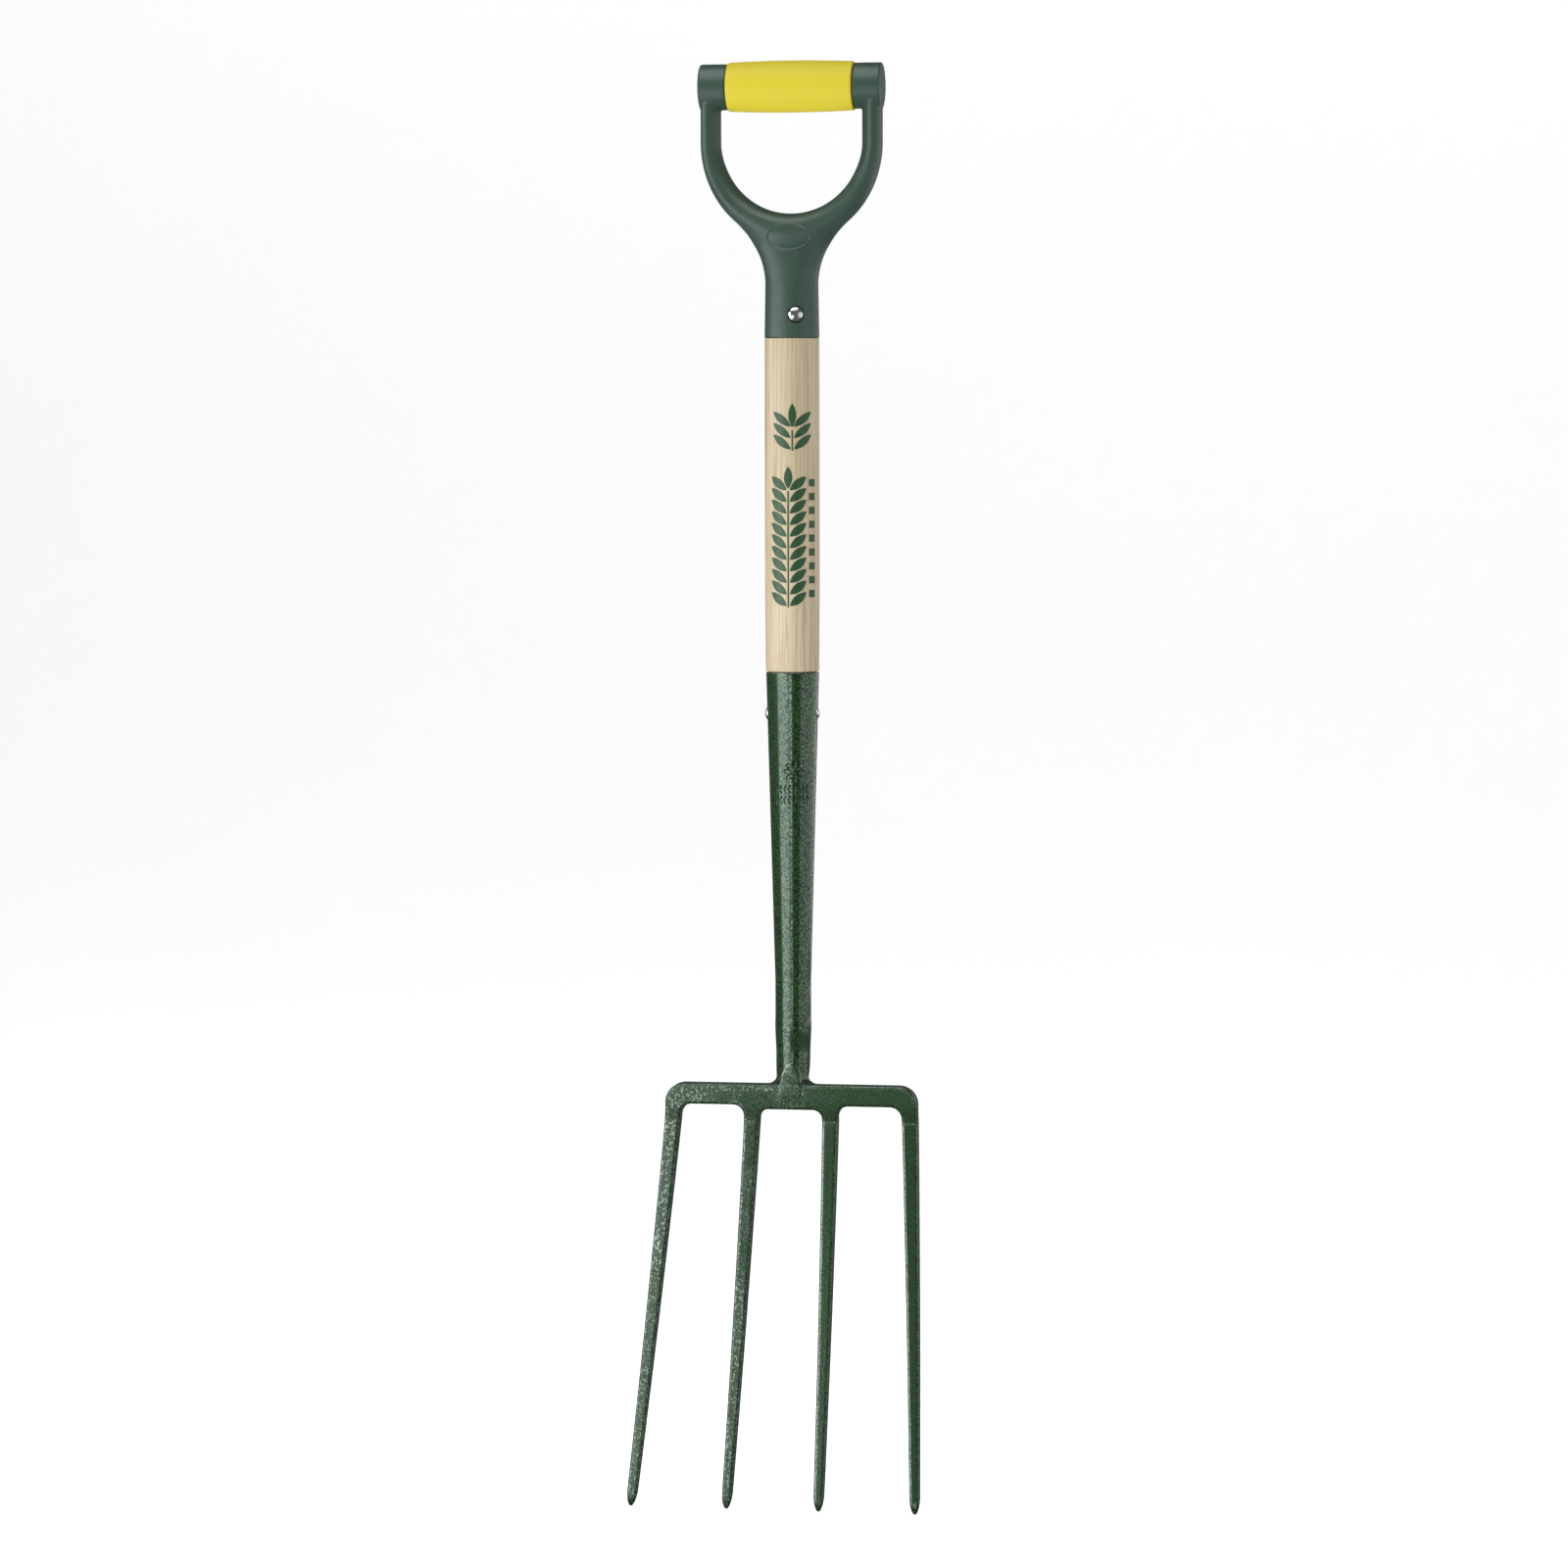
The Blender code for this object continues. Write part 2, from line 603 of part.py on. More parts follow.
def tine_size(height):
    """Width of the square section: an even taper, then a rounded point."""
    share = 1 - height / TINE_ROOT_HEIGHT
    size = TINE_ROOT_SIZE + (TINE_END_SIZE - TINE_ROOT_SIZE) * share
    if height < TINE_POINT_LENGTH:
        left = height / TINE_POINT_LENGTH
        size *= math.sqrt(1 - (1 - left) ** 2)
    return max(size, TINE_POINT_SIZE)


def make_tine(name, root_x, tip_x):
    top = TINE_ROOT_HEIGHT - GAP
    heights = [top - (top - TINE_POINT_LENGTH) * i / 14 for i in range(15)]
    heights += [TINE_POINT_LENGTH * share for share in (0.75, 0.5, 0.3, 0.14, 0.04, 0.0)]
    rings = []
    for height in heights:
        share = 1 - height / TINE_ROOT_HEIGHT
        x = root_x + (tip_x - root_x) * share
        y = tine_forward(height)
        half = tine_size(height) / 2
        cut = half * 2 * TINE_CHAMFER_SHARE
        deep = 1 / math.cos(tine_lean(height))
        section = [(half, cut - half), (half, half - cut), (half - cut, half), (cut - half, half)]
        section += [(-a, -b) for a, b in section]
        rings.append([(x + a, y + b * deep, at_height(height)) for a, b in section])
    loft(name, rings, "hammered_green")


def make_tines():
    places = [
        (-OUTER_TINE_ROOT_X, -OUTER_TINE_TIP_X),
        (-INNER_TINE_ROOT_X, -INNER_TINE_TIP_X),
        (INNER_TINE_ROOT_X, INNER_TINE_TIP_X),
        (OUTER_TINE_ROOT_X, OUTER_TINE_TIP_X),
    ]
    for number, (root_x, tip_x) in enumerate(places, start=1):
        make_tine(f"tine_{number}", root_x, tip_x)


def main():
    clear_scene()
    make_handle_frame()
    make_grip_sleeve()
    make_handle_rivet()
    make_shaft()
    make_socket()
    make_socket_rivet()
    make_head_bridge()
    make_neck_weld()
    make_tines()


main()
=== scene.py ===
"""The looks of a four-tine garden fork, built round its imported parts.

Metres, +Z up, the front faces -Y. Heights are measured upwards from the tine tips, and at_height turns
one into a Z coordinate. Azimuths are measured round the shaft's axis from the front towards +X. The
handle and the forged head are skins over a signed distance function, so that every fillet is real
geometry. The other pieces are turned. The print is laid on the curved side of the shaft, and the stamp
is pressed into the steel socket.
"""

import math

import bmesh
import bpy
import numpy as np
from mathutils import Matrix, Vector


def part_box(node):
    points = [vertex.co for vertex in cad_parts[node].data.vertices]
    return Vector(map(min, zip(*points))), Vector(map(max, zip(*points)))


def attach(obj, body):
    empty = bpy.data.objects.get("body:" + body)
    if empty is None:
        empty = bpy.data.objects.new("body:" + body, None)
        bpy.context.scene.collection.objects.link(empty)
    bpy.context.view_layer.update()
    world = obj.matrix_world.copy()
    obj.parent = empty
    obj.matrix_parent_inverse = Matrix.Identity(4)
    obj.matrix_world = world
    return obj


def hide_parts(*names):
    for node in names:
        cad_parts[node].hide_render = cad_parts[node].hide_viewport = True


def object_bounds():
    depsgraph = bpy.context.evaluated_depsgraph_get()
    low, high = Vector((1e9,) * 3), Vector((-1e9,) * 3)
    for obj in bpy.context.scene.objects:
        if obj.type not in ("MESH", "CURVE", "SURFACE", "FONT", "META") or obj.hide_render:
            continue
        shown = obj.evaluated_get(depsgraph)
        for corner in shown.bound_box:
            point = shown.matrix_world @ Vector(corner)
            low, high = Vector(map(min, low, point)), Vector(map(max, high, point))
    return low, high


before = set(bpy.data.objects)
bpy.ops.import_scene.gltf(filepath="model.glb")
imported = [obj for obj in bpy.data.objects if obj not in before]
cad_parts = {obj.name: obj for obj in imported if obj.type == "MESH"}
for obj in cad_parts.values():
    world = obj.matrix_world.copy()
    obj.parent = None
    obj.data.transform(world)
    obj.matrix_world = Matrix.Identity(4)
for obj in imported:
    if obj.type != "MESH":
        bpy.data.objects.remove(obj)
cad_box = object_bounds()

TIPS = cad_box[0].z
GAP = 0.0003  # between pieces that touch
SLIVER = 0.00001  # corners this close together are merged after a cut
GRID_ROOM = 0.002  # between a skin's shape and the side of its grid
THROUGH = 0.03  # a hole's cutter reaches this far from the shaft's axis

# Camera, aimed at the shaft's axis
CAMERA_AZIMUTH = 10
CAMERA_ELEVATION = 3.63
CAMERA_ROLL = -0.118
CAMERA_DISTANCE = 3.98
CAMERA_LENS = 128.36
AIM_HEIGHT = 0.5051
AIM_RIGHT = -0.0063

# Grip, hubs and handle
GRIP_CROWN = (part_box("grip_sleeve")[1].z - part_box("grip_sleeve")[0].z) / 2
GRIP_AXIS = cad_box[1].z - TIPS - GRIP_CROWN
GRIP_HALF_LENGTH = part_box("grip_sleeve")[1].x
GRIP_END = 0.0173
GRIP_EDGE = 0.0010
CORE_RADIUS = 0.0085
CORE_SINK = 0.002  # the core bar runs this far into the hubs
HANDLE_HALF_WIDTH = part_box("handle_frame")[1].x
HANDLE_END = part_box("handle_frame")[0].z - TIPS
HUB_RADIUS = 0.0162
HUB_EDGE = 0.0012
HUB_BLEND = 0.0012
OPENING_RADIUS = 0.0502
OPENING_CENTRE = 0.9596
LEG_WIDTH = 0.0146
YOKE_WIDTH = 0.0206
LEG_DEPTH = 0.0240
YOKE_DEPTH = 0.0285
LEG_EXPONENT = 2.3  # of the superellipse that a leg is in section
LEG_FLARE = 0.16  # a leg's outer side is deeper than its middle by this share
CREASE_FROM_EDGE = 0.0056
CREASE_SLOPE = math.radians(62)
CREASE_DEPTH = 0.46  # from the leg's middle to the crease, as a share of the leg's depth
CREASE_FADE = 0.012
CREASE_BLEND = 0.0016
WAIST = 0.8590
END_RADIUS = 0.0194
WAIST_RADIUS = 0.0188
FLARE_RADIUS = 0.0530
NECK_TOP = 0.8990
NECK_TOP_DEPTH = 0.0240
NECK_TOP_BLEND = 0.012
NECK_BLEND = 0.007
NECK_SINK = 0.0110  # the neck ends this far outside the hand opening, inside the yoke
END_EDGE = 0.0006
OVAL_CENTRE = 0.8925
OVAL_HALF_WIDTH = 0.0157
OVAL_HALF_HEIGHT = 0.0090
OVAL_LINE_WIDTH = 0.0005
OVAL_RISE = 0.00035
OVAL_ROOM = 0.0028  # the mesh is finer this far round the oval
HANDLE_CELL = 0.0008  # the side of a grid cell under the handle's skin
HANDLE_GRID_DEPTH = 0.0215  # the grid reaches this far forwards and back

# Shaft and its print
SHAFT_RADIUS = 0.0194
SHAFT_SHOULDER_RADIUS = 0.0189
SHAFT_TAPER_START = 0.6500
SHAFT_END = 0.4000
SHAFT_EDGE = 0.0004
SHAFT_CHAMFER, SHAFT_CHAMFER_HEIGHT = 0.002, 0.003
TENON_RADIUS = 0.0150
TENON_LENGTH = 0.0580
TENON_CHAMFER = 0.002
PRINT_AZIMUTH = 10
PRINT_RISE = 0.00008
LEAF_EXPONENT = 0.8  # a smaller one makes a fuller leaf
LEAF_BLUNT = 0.02
LEAF_ANGLE = math.radians(52)
STALK_WIDTH = 0.0012

# Steel socket and its stamp
SOCKET_RIM = 0.5850
SOCKET_RIM_RADIUS = 0.0188
SOCKET_TAPER_END = 0.3650
SOCKET_NECK_RADIUS = 0.01275
SOCKET_END = 0.3310
SOCKET_WALL = 0.0022
SOCKET_EDGE = 0.0006
STAMP_AZIMUTH = 13
STAMP_HEIGHT = 0.5148
STAMP_DEPTH = 0.0009
STAMP_HALF_WIDTH = 0.016
STAMP_ABOVE, STAMP_BELOW = 0.010, 0.026
ROSETTE_LEAVES = 8
ROSETTE_HUB = 0.0013
ROSETTE_LEAF_LENGTH, ROSETTE_LEAF_WIDTH = 0.0067, 0.0034
LOZENGE_ROWS = (-0.0125, -0.0202)
LOZENGES_IN_ROW = 8
LOZENGE_PITCH = 0.0032
LOZENGE_SHIFT = -0.0014
LOZENGE_HALF_WIDTH, LOZENGE_HALF_HEIGHT = 0.0013, 0.0032

# Rivets
SHANK_RADIUS = 0.0030
HANDLE_RIVET = 0.8379
HANDLE_RIVET_TURN = 18
HANDLE_SEAT = 0.0174
HANDLE_SEAT_RADIUS = 0.0061
HANDLE_HEAD_RADIUS = 0.0053
HANDLE_HEAD_RISE = 0.0028
BURR_THICKNESS = 0.0012
SOCKET_RIVET = 0.5555
SOCKET_RIVET_TURN = -90
SOCKET_SEAT = 0.0170
SOCKET_HEAD_RADIUS = 0.0045
SOCKET_HEAD_RISE = 0.0024
SOCKET_TAIL_RADIUS = 0.0035
SOCKET_TAIL_RISE = 0.0022

# Forged head
BRIDGE_TOP = 0.2912
BRIDGE_HALF_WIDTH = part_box("head_bridge")[1].x
BRIDGE_DEPTH = 0.0148
BRIDGE_MIDDLE_DEPTH = 0.0178
BRIDGE_THICKNESS = 0.0130
BRIDGE_FORWARD = 0.0080
TREAD_CORNER = 0.0135
ROOT_CORNER = 0.0080
MIDDLE_ROOT_CORNER = 0.0066
FORGED_EDGE = 0.0015
TINE_STEP = 0.2740
TINE_ROOT = 0.2655
TINE_ROOT_SIZE = 0.0110
TINE_END_SIZE = 0.0070
TINE_POINT = 0.0115
TINE_ROOT_LEAN = math.radians(14.5)
TINE_TIP_LEAN = math.radians(19.8)
TINE_BEND = 0.0012  # the length below its root in which a tine takes on its lean
TINE_FADE = 0.004  # a tine's depth starts to grow into the bridge's this far below its root
INNER_ROOT, INNER_TIP = 0.0283, 0.0328
OUTER_ROOT, OUTER_TIP = 0.0857, 0.1012
NECK_RADIUS = 0.0122
NECK_FILLET = 0.0060
NECK_BACK_TOP = 0.3150
NECK_BACK_FACE = (0.898, -0.439)  # the way the slope at the neck's back faces, in y and height
NECK_BACK_BLEND = 0.008
TONGUE_FOOT, TONGUE_TOP = 0.2935, 0.3057
TONGUE_HALF_WIDTH = 0.0074
TONGUE_SINK = 0.00035
TONGUE_EDGE = 0.0016
TONGUE_BLEND = 0.0014
FRONT_EDGE = 0.001
WELD = 0.3325
WELD_FADE = 0.020
WELD_RISE = 0.0007
WELD_END_RISE = 0.0005
HEAD_TOP = 0.3420
HEAD_CELL = 0.0009
HEAD_GRID_SIDE = 0.0058
HEAD_GRID_FRONT, HEAD_GRID_BACK = -0.0105, 0.0235

# Studio
SOFTBOX_WATTS = 4  # to a square metre, at brightness 1
SKY_LIGHT, SKY_SEEN = 0.10, 0.92
SWEEP_HALF_WIDTH = 8.0
SWEEP_FRONT, SWEEP_BEND, SWEEP_TOP = -6.0, 3.0, 6.0
SWEEP_RADIUS = 2.0
SWEEP_GAP = 0.0005


def at_height(height):
    return TIPS + height


# Distance functions. Each takes arrays of x, y and height and is negative inside.


def smooth_union(a, b, blend):
    """The nearer of two shapes, melted together over the blend distance."""
    share = np.clip(0.5 + 0.5 * (b - a) / blend, 0, 1)
    return b * (1 - share) + a * share - blend * share * (1 - share)


def smooth_cut(a, b, blend):
    """What two shapes have in common, with the edge between them rounded off."""
    return -smooth_union(-a, -b, blend)


def fillet_union(a, b, radius):
    """Two shapes joined by a circular fillet."""
    corner = np.hypot(np.maximum(radius - a, 0), np.maximum(radius - b, 0))
    return np.maximum(radius, np.minimum(a, b)) - corner


def round_cut(a, b, radius):
    """What two shapes have in common, with a circular round on the edge."""
    corner = np.hypot(np.maximum(radius + a, 0), np.maximum(radius + b, 0))
    return np.minimum(-radius, np.maximum(a, b)) + corner


def steps(low, high, count):
    """Even steps from low up to high, without high itself."""
    return [low + (high - low) * i / count for i in range(count)]


def quarter_turn(count):
    """Even angles from 0 to a quarter turn, both included."""
    return [math.pi / 2 * i / count for i in range(count + 1)]


def ease(value, low, high):
    """Rises smoothly from 0 at low to 1 at high."""
    share = np.clip((value - low) / (high - low), 0, 1)
    return share * share * (3 - 2 * share)


def rounded_section(a, b, half_a, half_b, exponent):
    """Distance to a superellipse, exact on its outline."""
    size = (np.abs(a / half_a) ** exponent + np.abs(b / half_b) ** exponent) ** (1 / exponent)
    return (size - 1) * np.minimum(half_a, half_b)


# Skins


def surface_net(distance, low, high, step):
    """Points and quads round the zero level of a distance function, sampled on a grid."""
    axes = [np.arange(a, b + step, step) for a, b in zip(low, high)]
    inside = distance(*np.meshgrid(*axes, indexing="ij")) < 0
    cells = np.zeros([n - 1 for n in inside.shape], int)
    for i in (0, 1):
        for j in (0, 1):
            for k in (0, 1):
                a, b, c = cells.shape
                cells += inside[i : i + a, j : j + b, k : k + c]
    crossed = (cells > 0) & (cells < 8)
    number = np.full(cells.shape, -1)
    number[crossed] = np.arange(crossed.sum())
    points = np.stack([axis[0] + (index + 0.5) * step for axis, index in zip(axes, np.nonzero(crossed))], 1)
    quads = []
    for turn in range(3):
        order = [turn, (turn + 1) % 3, (turn + 2) % 3]
        solid, cell = inside.transpose(order), number.transpose(order)
        i, j, k = np.nonzero((solid[:-1] != solid[1:])[:, 1:-1, 1:-1])
        j, k = j + 1, k + 1
        round_edge = (cell[i, j - 1, k - 1], cell[i, j, k - 1], cell[i, j, k], cell[i, j - 1, k])
        quad = np.stack(round_edge, 1)
        quads.append(np.where(solid[i, j, k][:, None], quad, quad[:, ::-1]))
    return points, np.concatenate(quads)


def gradient(distance, points, step=2e-5):
    """The slope of the distance function at each point, measured over a small step both ways."""
    columns = []
    for axis in np.eye(3):
        ahead = distance(*(points + step * axis).T)
        behind = distance(*(points - step * axis).T)
        columns.append((ahead - behind) / (2 * step))
    return np.stack(columns, 1)


def settle(points, distance, most, rounds=3):
    """Moves the points onto the zero level, at most so far in each round."""
    for _ in range(rounds):
        slope = gradient(distance, points)
        steep = np.maximum((slope**2).sum(1), 0.04)
        move = -slope * (distance(*points.T) / steep)[:, None]
        length = np.linalg.norm(move, axis=1)
        points = points + move * (most / np.maximum(length, most))[:, None]
    return points


def relax(points, quads, distance, most, rounds=4):
    """Evens out the quads: each point goes halfway to the middle of its neighbours, then settles again."""
    edges = np.concatenate([quads[:, [i, (i + 1) % 4]] for i in range(4)])
    counts = np.bincount(edges.ravel(), minlength=len(points))
    for _ in range(rounds):
        total = np.zeros_like(points)
        for axis in range(3):
            total[:, axis] = np.bincount(edges[:, 0], points[edges[:, 1], axis], len(points))
            total[:, axis] += np.bincount(edges[:, 1], points[edges[:, 0], axis], len(points))
        points = (points + total / counts[:, None]) / 2
        points = settle(points, distance, most, 2)
    return points


def skin(name, distance, low, high, step):
    """A closed mesh object over the zero level of a distance function of x, y and height."""
    points, quads = surface_net(distance, low, high, step)
    points = settle(points, distance, step)
    points = relax(points, quads, distance, step)
    return mesh_object(name, points + (0, 0, TIPS), quads)


def refine(obj, wanted, cuts):
    """Cuts each edge that lies in the wanted region into cuts + 1."""
    bm = bmesh.new()
    bm.from_mesh(obj.data)
    edges = [e for e in bm.edges if all(wanted(v.co.x, v.co.y, v.co.z - TIPS) for v in e.verts)]
    bmesh.ops.subdivide_edges(bm, edges=edges, cuts=cuts, use_grid_fill=True)
    bm.to_mesh(obj.data)
    bm.free()


def points_of(mesh):
    """The mesh's points as x, y and height."""
    points = np.empty(len(mesh.vertices) * 3)
    mesh.vertices.foreach_get("co", points)
    return points.reshape(-1, 3) - (0, 0, TIPS)


def put_points(mesh, points):
    """Moves the mesh's points to these, given as x, y and height."""
    mesh.vertices.foreach_set("co", (points + (0, 0, TIPS)).ravel())
    mesh.update()


def resettle(obj, distance, most, wanted):
    """Moves the object's points in the wanted region onto the zero level."""
    points = points_of(obj.data)
    chosen = wanted(*points.T)
    points[chosen] = settle(points[chosen], distance, most)
    put_points(obj.data, points)


# Meshes


def mesh_object(name, points, faces, sharp=40):
    """A smooth object with hard edges where its faces meet at more than the sharp angle, in degrees."""
    mesh = bpy.data.meshes.new(name)
    corners = [tuple(map(float, point)) for point in points]
    mesh.from_pydata(corners, [], [list(map(int, face)) for face in faces])
    mesh.validate()
    smooth(mesh, sharp)
    obj = bpy.data.objects.new(name, mesh)
    bpy.context.scene.collection.objects.link(obj)
    return obj


def smooth(mesh, sharp=40):
    mesh.shade_smooth()
    mesh.set_sharp_from_angle(angle=math.radians(sharp))


def even_angles(count=96):
    return [2 * math.pi * i / count for i in range(count)]


def turned(name, profile, place=None, angles=None, closed=False):
    """Turns (radius, distance) pairs about the place's Z axis. A closed profile makes a ring."""
    place = place or Matrix()
    angles = angles or even_angles()
    points, rows = [], []
    for radius, along in profile:
        if radius < 1e-7:
            rows.append([len(points)] * len(angles))
            points.append(place @ Vector((0, 0, along)))
            continue
        rows.append(range(len(points), len(points) + len(angles)))
        points += [place @ Vector((radius * math.cos(a), radius * math.sin(a), along)) for a in angles]
    faces = []
    for low, high in list(zip(rows, rows[1:])) + [(rows[-1], rows[0])] * closed:
        for i in range(len(angles)):
            j = (i + 1) % len(angles)
            face = [low[i], low[j], high[j], high[i]]
            faces.append([corner for n, corner in enumerate(face) if corner != face[n - 1]])
    obj = mesh_object(name, points, faces)
    outward(obj.data)
    return obj


def outward(mesh):
    """Turns every face of a closed mesh to the outside."""
    bm = bmesh.new()
    bm.from_mesh(mesh)
    bmesh.ops.recalc_face_normals(bm, faces=bm.faces)
    bm.to_mesh(mesh)
    bm.free()


def across(height, azimuth):
    """The place whose Z axis points outwards from the shaft's axis at this height and azimuth."""
    a = math.radians(azimuth)
    return Matrix(
        (
            (math.cos(a), 0, math.sin(a), 0),
            (math.sin(a), 0, -math.cos(a), 0),
            (0, 1, 0, at_height(height)),
            (0, 0, 0, 1),
        )
    )


def merge_slivers(mesh):
    """Merges the corners that a cut leaves almost on top of each other."""
    bm = bmesh.new()
    bm.from_mesh(mesh)
    bmesh.ops.remove_doubles(bm, verts=bm.verts, dist=SLIVER)
    bmesh.ops.dissolve_degenerate(bm, edges=bm.edges, dist=SLIVER)
    bm.to_mesh(mesh)
    bm.free()


def cut(obj, radius, start, end, place):
    """Cuts a round hole along the place's Z axis."""
    cutter = turned("cutter", [(0, start), (radius, start), (radius, end), (0, end)], place, even_angles(64))
    modifier = obj.modifiers.new("cut", "BOOLEAN")
    modifier.operation = "DIFFERENCE"
    modifier.solver = "EXACT"
    modifier.object = cutter
    shape = bpy.data.meshes.new_from_object(obj.evaluated_get(bpy.context.evaluated_depsgraph_get()))
    obj.modifiers.clear()
    obj.data = shape
    merge_slivers(shape)
    smooth(shape)
    bpy.data.objects.remove(cutter)


def finish_piece(obj, material, slot, *nodes):
    """Gives a new piece its material and its body, and hides the nodes that it stands for. The slot is not
    used.
    """
    obj.data.materials.clear()
    obj.data.materials.append(material)
    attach(obj, "root")
    if nodes:
        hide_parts(*nodes)


def finish_node(name, material):
    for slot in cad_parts[name].material_slots:
        slot.material = material


# Handle


def leg_distance(x, y, h):
    """The U round the hand opening: two legs that curve into the yoke, creased along their inner side."""
    below = np.minimum(h - OPENING_CENTRE, 0)
    radius = np.hypot(x, below)
    drop = (below / np.maximum(radius, 1e-6)) ** 2
    width = LEG_WIDTH + (YOKE_WIDTH - LEG_WIDTH) * drop
    depth = LEG_DEPTH + (YOKE_DEPTH - LEG_DEPTH) * drop
    out = radius - OPENING_RADIUS - width / 2
    flare = 1 + LEG_FLARE * (1 - drop) * np.clip(2 * out / width, -1, 1)
    section = rounded_section(out, y, width / 2, depth * flare / 2, LEG_EXPONENT)
    side = out + width / 2 - CREASE_FROM_EDGE
    front = np.abs(y) - LEG_DEPTH * CREASE_DEPTH
    facet = front * math.cos(CREASE_SLOPE) - side * math.sin(CREASE_SLOPE)
    section = smooth_cut(section, facet - CREASE_FADE * drop, CREASE_BLEND)
    return np.maximum(section, h - GRIP_AXIS)


def hub_distance(x, y, h):
    """The two hubs and the core bar between them."""
    radius = np.hypot(y, h - GRIP_AXIS)
    ends = np.maximum(np.abs(x) - HANDLE_HALF_WIDTH, GRIP_HALF_LENGTH + GAP - np.abs(x))
    hubs = round_cut(radius - HUB_RADIUS, ends, HUB_EDGE)
    core = np.maximum(radius - CORE_RADIUS, np.abs(x) - GRIP_HALF_LENGTH - CORE_SINK)
    return np.minimum(hubs, core)


def neck_distance(x, y, h):
    """The round socket for the shaft, flaring into the yoke."""
    rise = np.clip(h - WAIST, 0, NECK_TOP - WAIST)
    low = (WAIST - np.minimum(h, WAIST)) / (WAIST - HANDLE_END)
    radius = WAIST_RADIUS + (END_RADIUS - WAIST_RADIUS) * low
    half_width = radius + FLARE_RADIUS - np.sqrt(FLARE_RADIUS**2 - rise**2)
    share = rise / (NECK_TOP - WAIST)
    half_depth = radius * (1 - share) + NECK_TOP_DEPTH / 2 * share
    section = rounded_section(x, y, half_width, half_depth, 2 + (LEG_EXPONENT - 2) * share)
    section = smooth_cut(section, h - NECK_TOP, NECK_TOP_BLEND)
    return np.maximum(section, OPENING_RADIUS + NECK_SINK - np.hypot(x, h - OPENING_CENTRE))


def oval_distance(x, h):
    """Distance from the line of the oval on the front of the yoke."""
    right, up = x / OVAL_HALF_WIDTH, (h - OVAL_CENTRE) / OVAL_HALF_HEIGHT
    size = np.hypot(right, up)
    slope = np.hypot(right / OVAL_HALF_WIDTH, up / OVAL_HALF_HEIGHT) / np.maximum(size, 1e-6)
    return np.abs((size - 1) / np.maximum(slope, 1e-6))


def handle_distance(x, y, h):
    body = smooth_union(leg_distance(x, y, h), neck_distance(x, y, h), NECK_BLEND)
    body = smooth_union(body, hub_distance(x, y, h), HUB_BLEND)
    return round_cut(body, HANDLE_END - h, END_EDGE)


def marked_handle_distance(x, y, h):
    """The handle with the raised oval on its front."""
    line = 1 - ease(oval_distance(x, h), OVAL_LINE_WIDTH * 0.4, OVAL_LINE_WIDTH * 1.6)
    return handle_distance(x, y, h) - OVAL_RISE * line * (y < 0)


def near_oval(x, y, h):
    right, up = np.abs(x) - OVAL_HALF_WIDTH, np.abs(h - OVAL_CENTRE) - OVAL_HALF_HEIGHT
    return (right < OVAL_ROOM) & (up < OVAL_ROOM) & (y < -0.006)


def near_handle_end(x, y, h):
    return h < HANDLE_END + 2 * HANDLE_CELL


def make_handle(material):
    side = HANDLE_HALF_WIDTH + GRID_ROOM
    low = (-side, -HANDLE_GRID_DEPTH, HANDLE_END - GRID_ROOM)
    high = (side, HANDLE_GRID_DEPTH, GRIP_AXIS + HUB_RADIUS + GRID_ROOM)
    handle = skin("d_handle", handle_distance, low, high, HANDLE_CELL)
    for region in (near_oval, near_handle_end):
        refine(handle, region, 2)
        resettle(handle, marked_handle_distance, 0.0005, region)
    upright = Matrix.Translation((0, 0, at_height(HANDLE_END)))
    front = across(HANDLE_RIVET, HANDLE_RIVET_TURN)
    cut(handle, TENON_RADIUS + GAP, -0.004, TENON_LENGTH + GAP, upright)
    cut(handle, SHANK_RADIUS + GAP, -THROUGH, THROUGH, front)
    cut(handle, HANDLE_SEAT_RADIUS, HANDLE_SEAT, THROUGH, front)
    cut(handle, HANDLE_SEAT_RADIUS, -THROUGH, -HANDLE_SEAT, front)
    finish_piece(handle, material, "green_plastic", "handle_frame")


def make_grip(material):
    """The crowned sleeve between the hubs, with rounded ends."""
    bore = CORE_RADIUS + GAP
    straight = GRIP_HALF_LENGTH - GRIP_EDGE
    edge = []
    for turn in quarter_turn(6):
        edge.append((GRIP_END - GRIP_EDGE * (1 - math.cos(turn)), straight + GRIP_EDGE * math.sin(turn)))
    crown = []
    for x in steps(-straight, straight, 24)[1:]:
        crown.append((GRIP_CROWN - (GRIP_CROWN - GRIP_END) * (x / straight) ** 2, x))
    far_half = [*edge, (bore, GRIP_HALF_LENGTH)]
    profile = [(radius, -x) for radius, x in reversed(far_half)] + crown + far_half
    place = Matrix.Translation((0, 0, at_height(GRIP_AXIS))) @ Matrix.Rotation(math.radians(90), 4, "Y")
    grip = turned("soft_grip", profile, place, even_angles(144), closed=True)
    finish_piece(grip, material, "yellow_grip", "grip_sleeve")


# Rivets


def dome(radius, rise, base):
    """(radius, distance) of a domed head with a small upright rim, from its seat to its top."""
    rim = rise * 0.16
    points = [(radius, base)]
    for turn in quarter_turn(12):
        points.append((radius * math.cos(turn), base + rim + (rise - rim) * math.sin(turn)))
    return points


def make_rivet(name, head, tail, place, material):
    """A shank with a domed head at each end. A head is (radius, rise, base)."""
    underside = [(r, -z) for r, z in reversed(dome(*tail))]
    profile = [*underside, (SHANK_RADIUS, -tail[2]), (SHANK_RADIUS, head[2]), *dome(*head)]
    rivet = turned(name, profile, place, even_angles(72))
    finish_piece(rivet, material, "bright_steel", name.replace("_looks", ""))


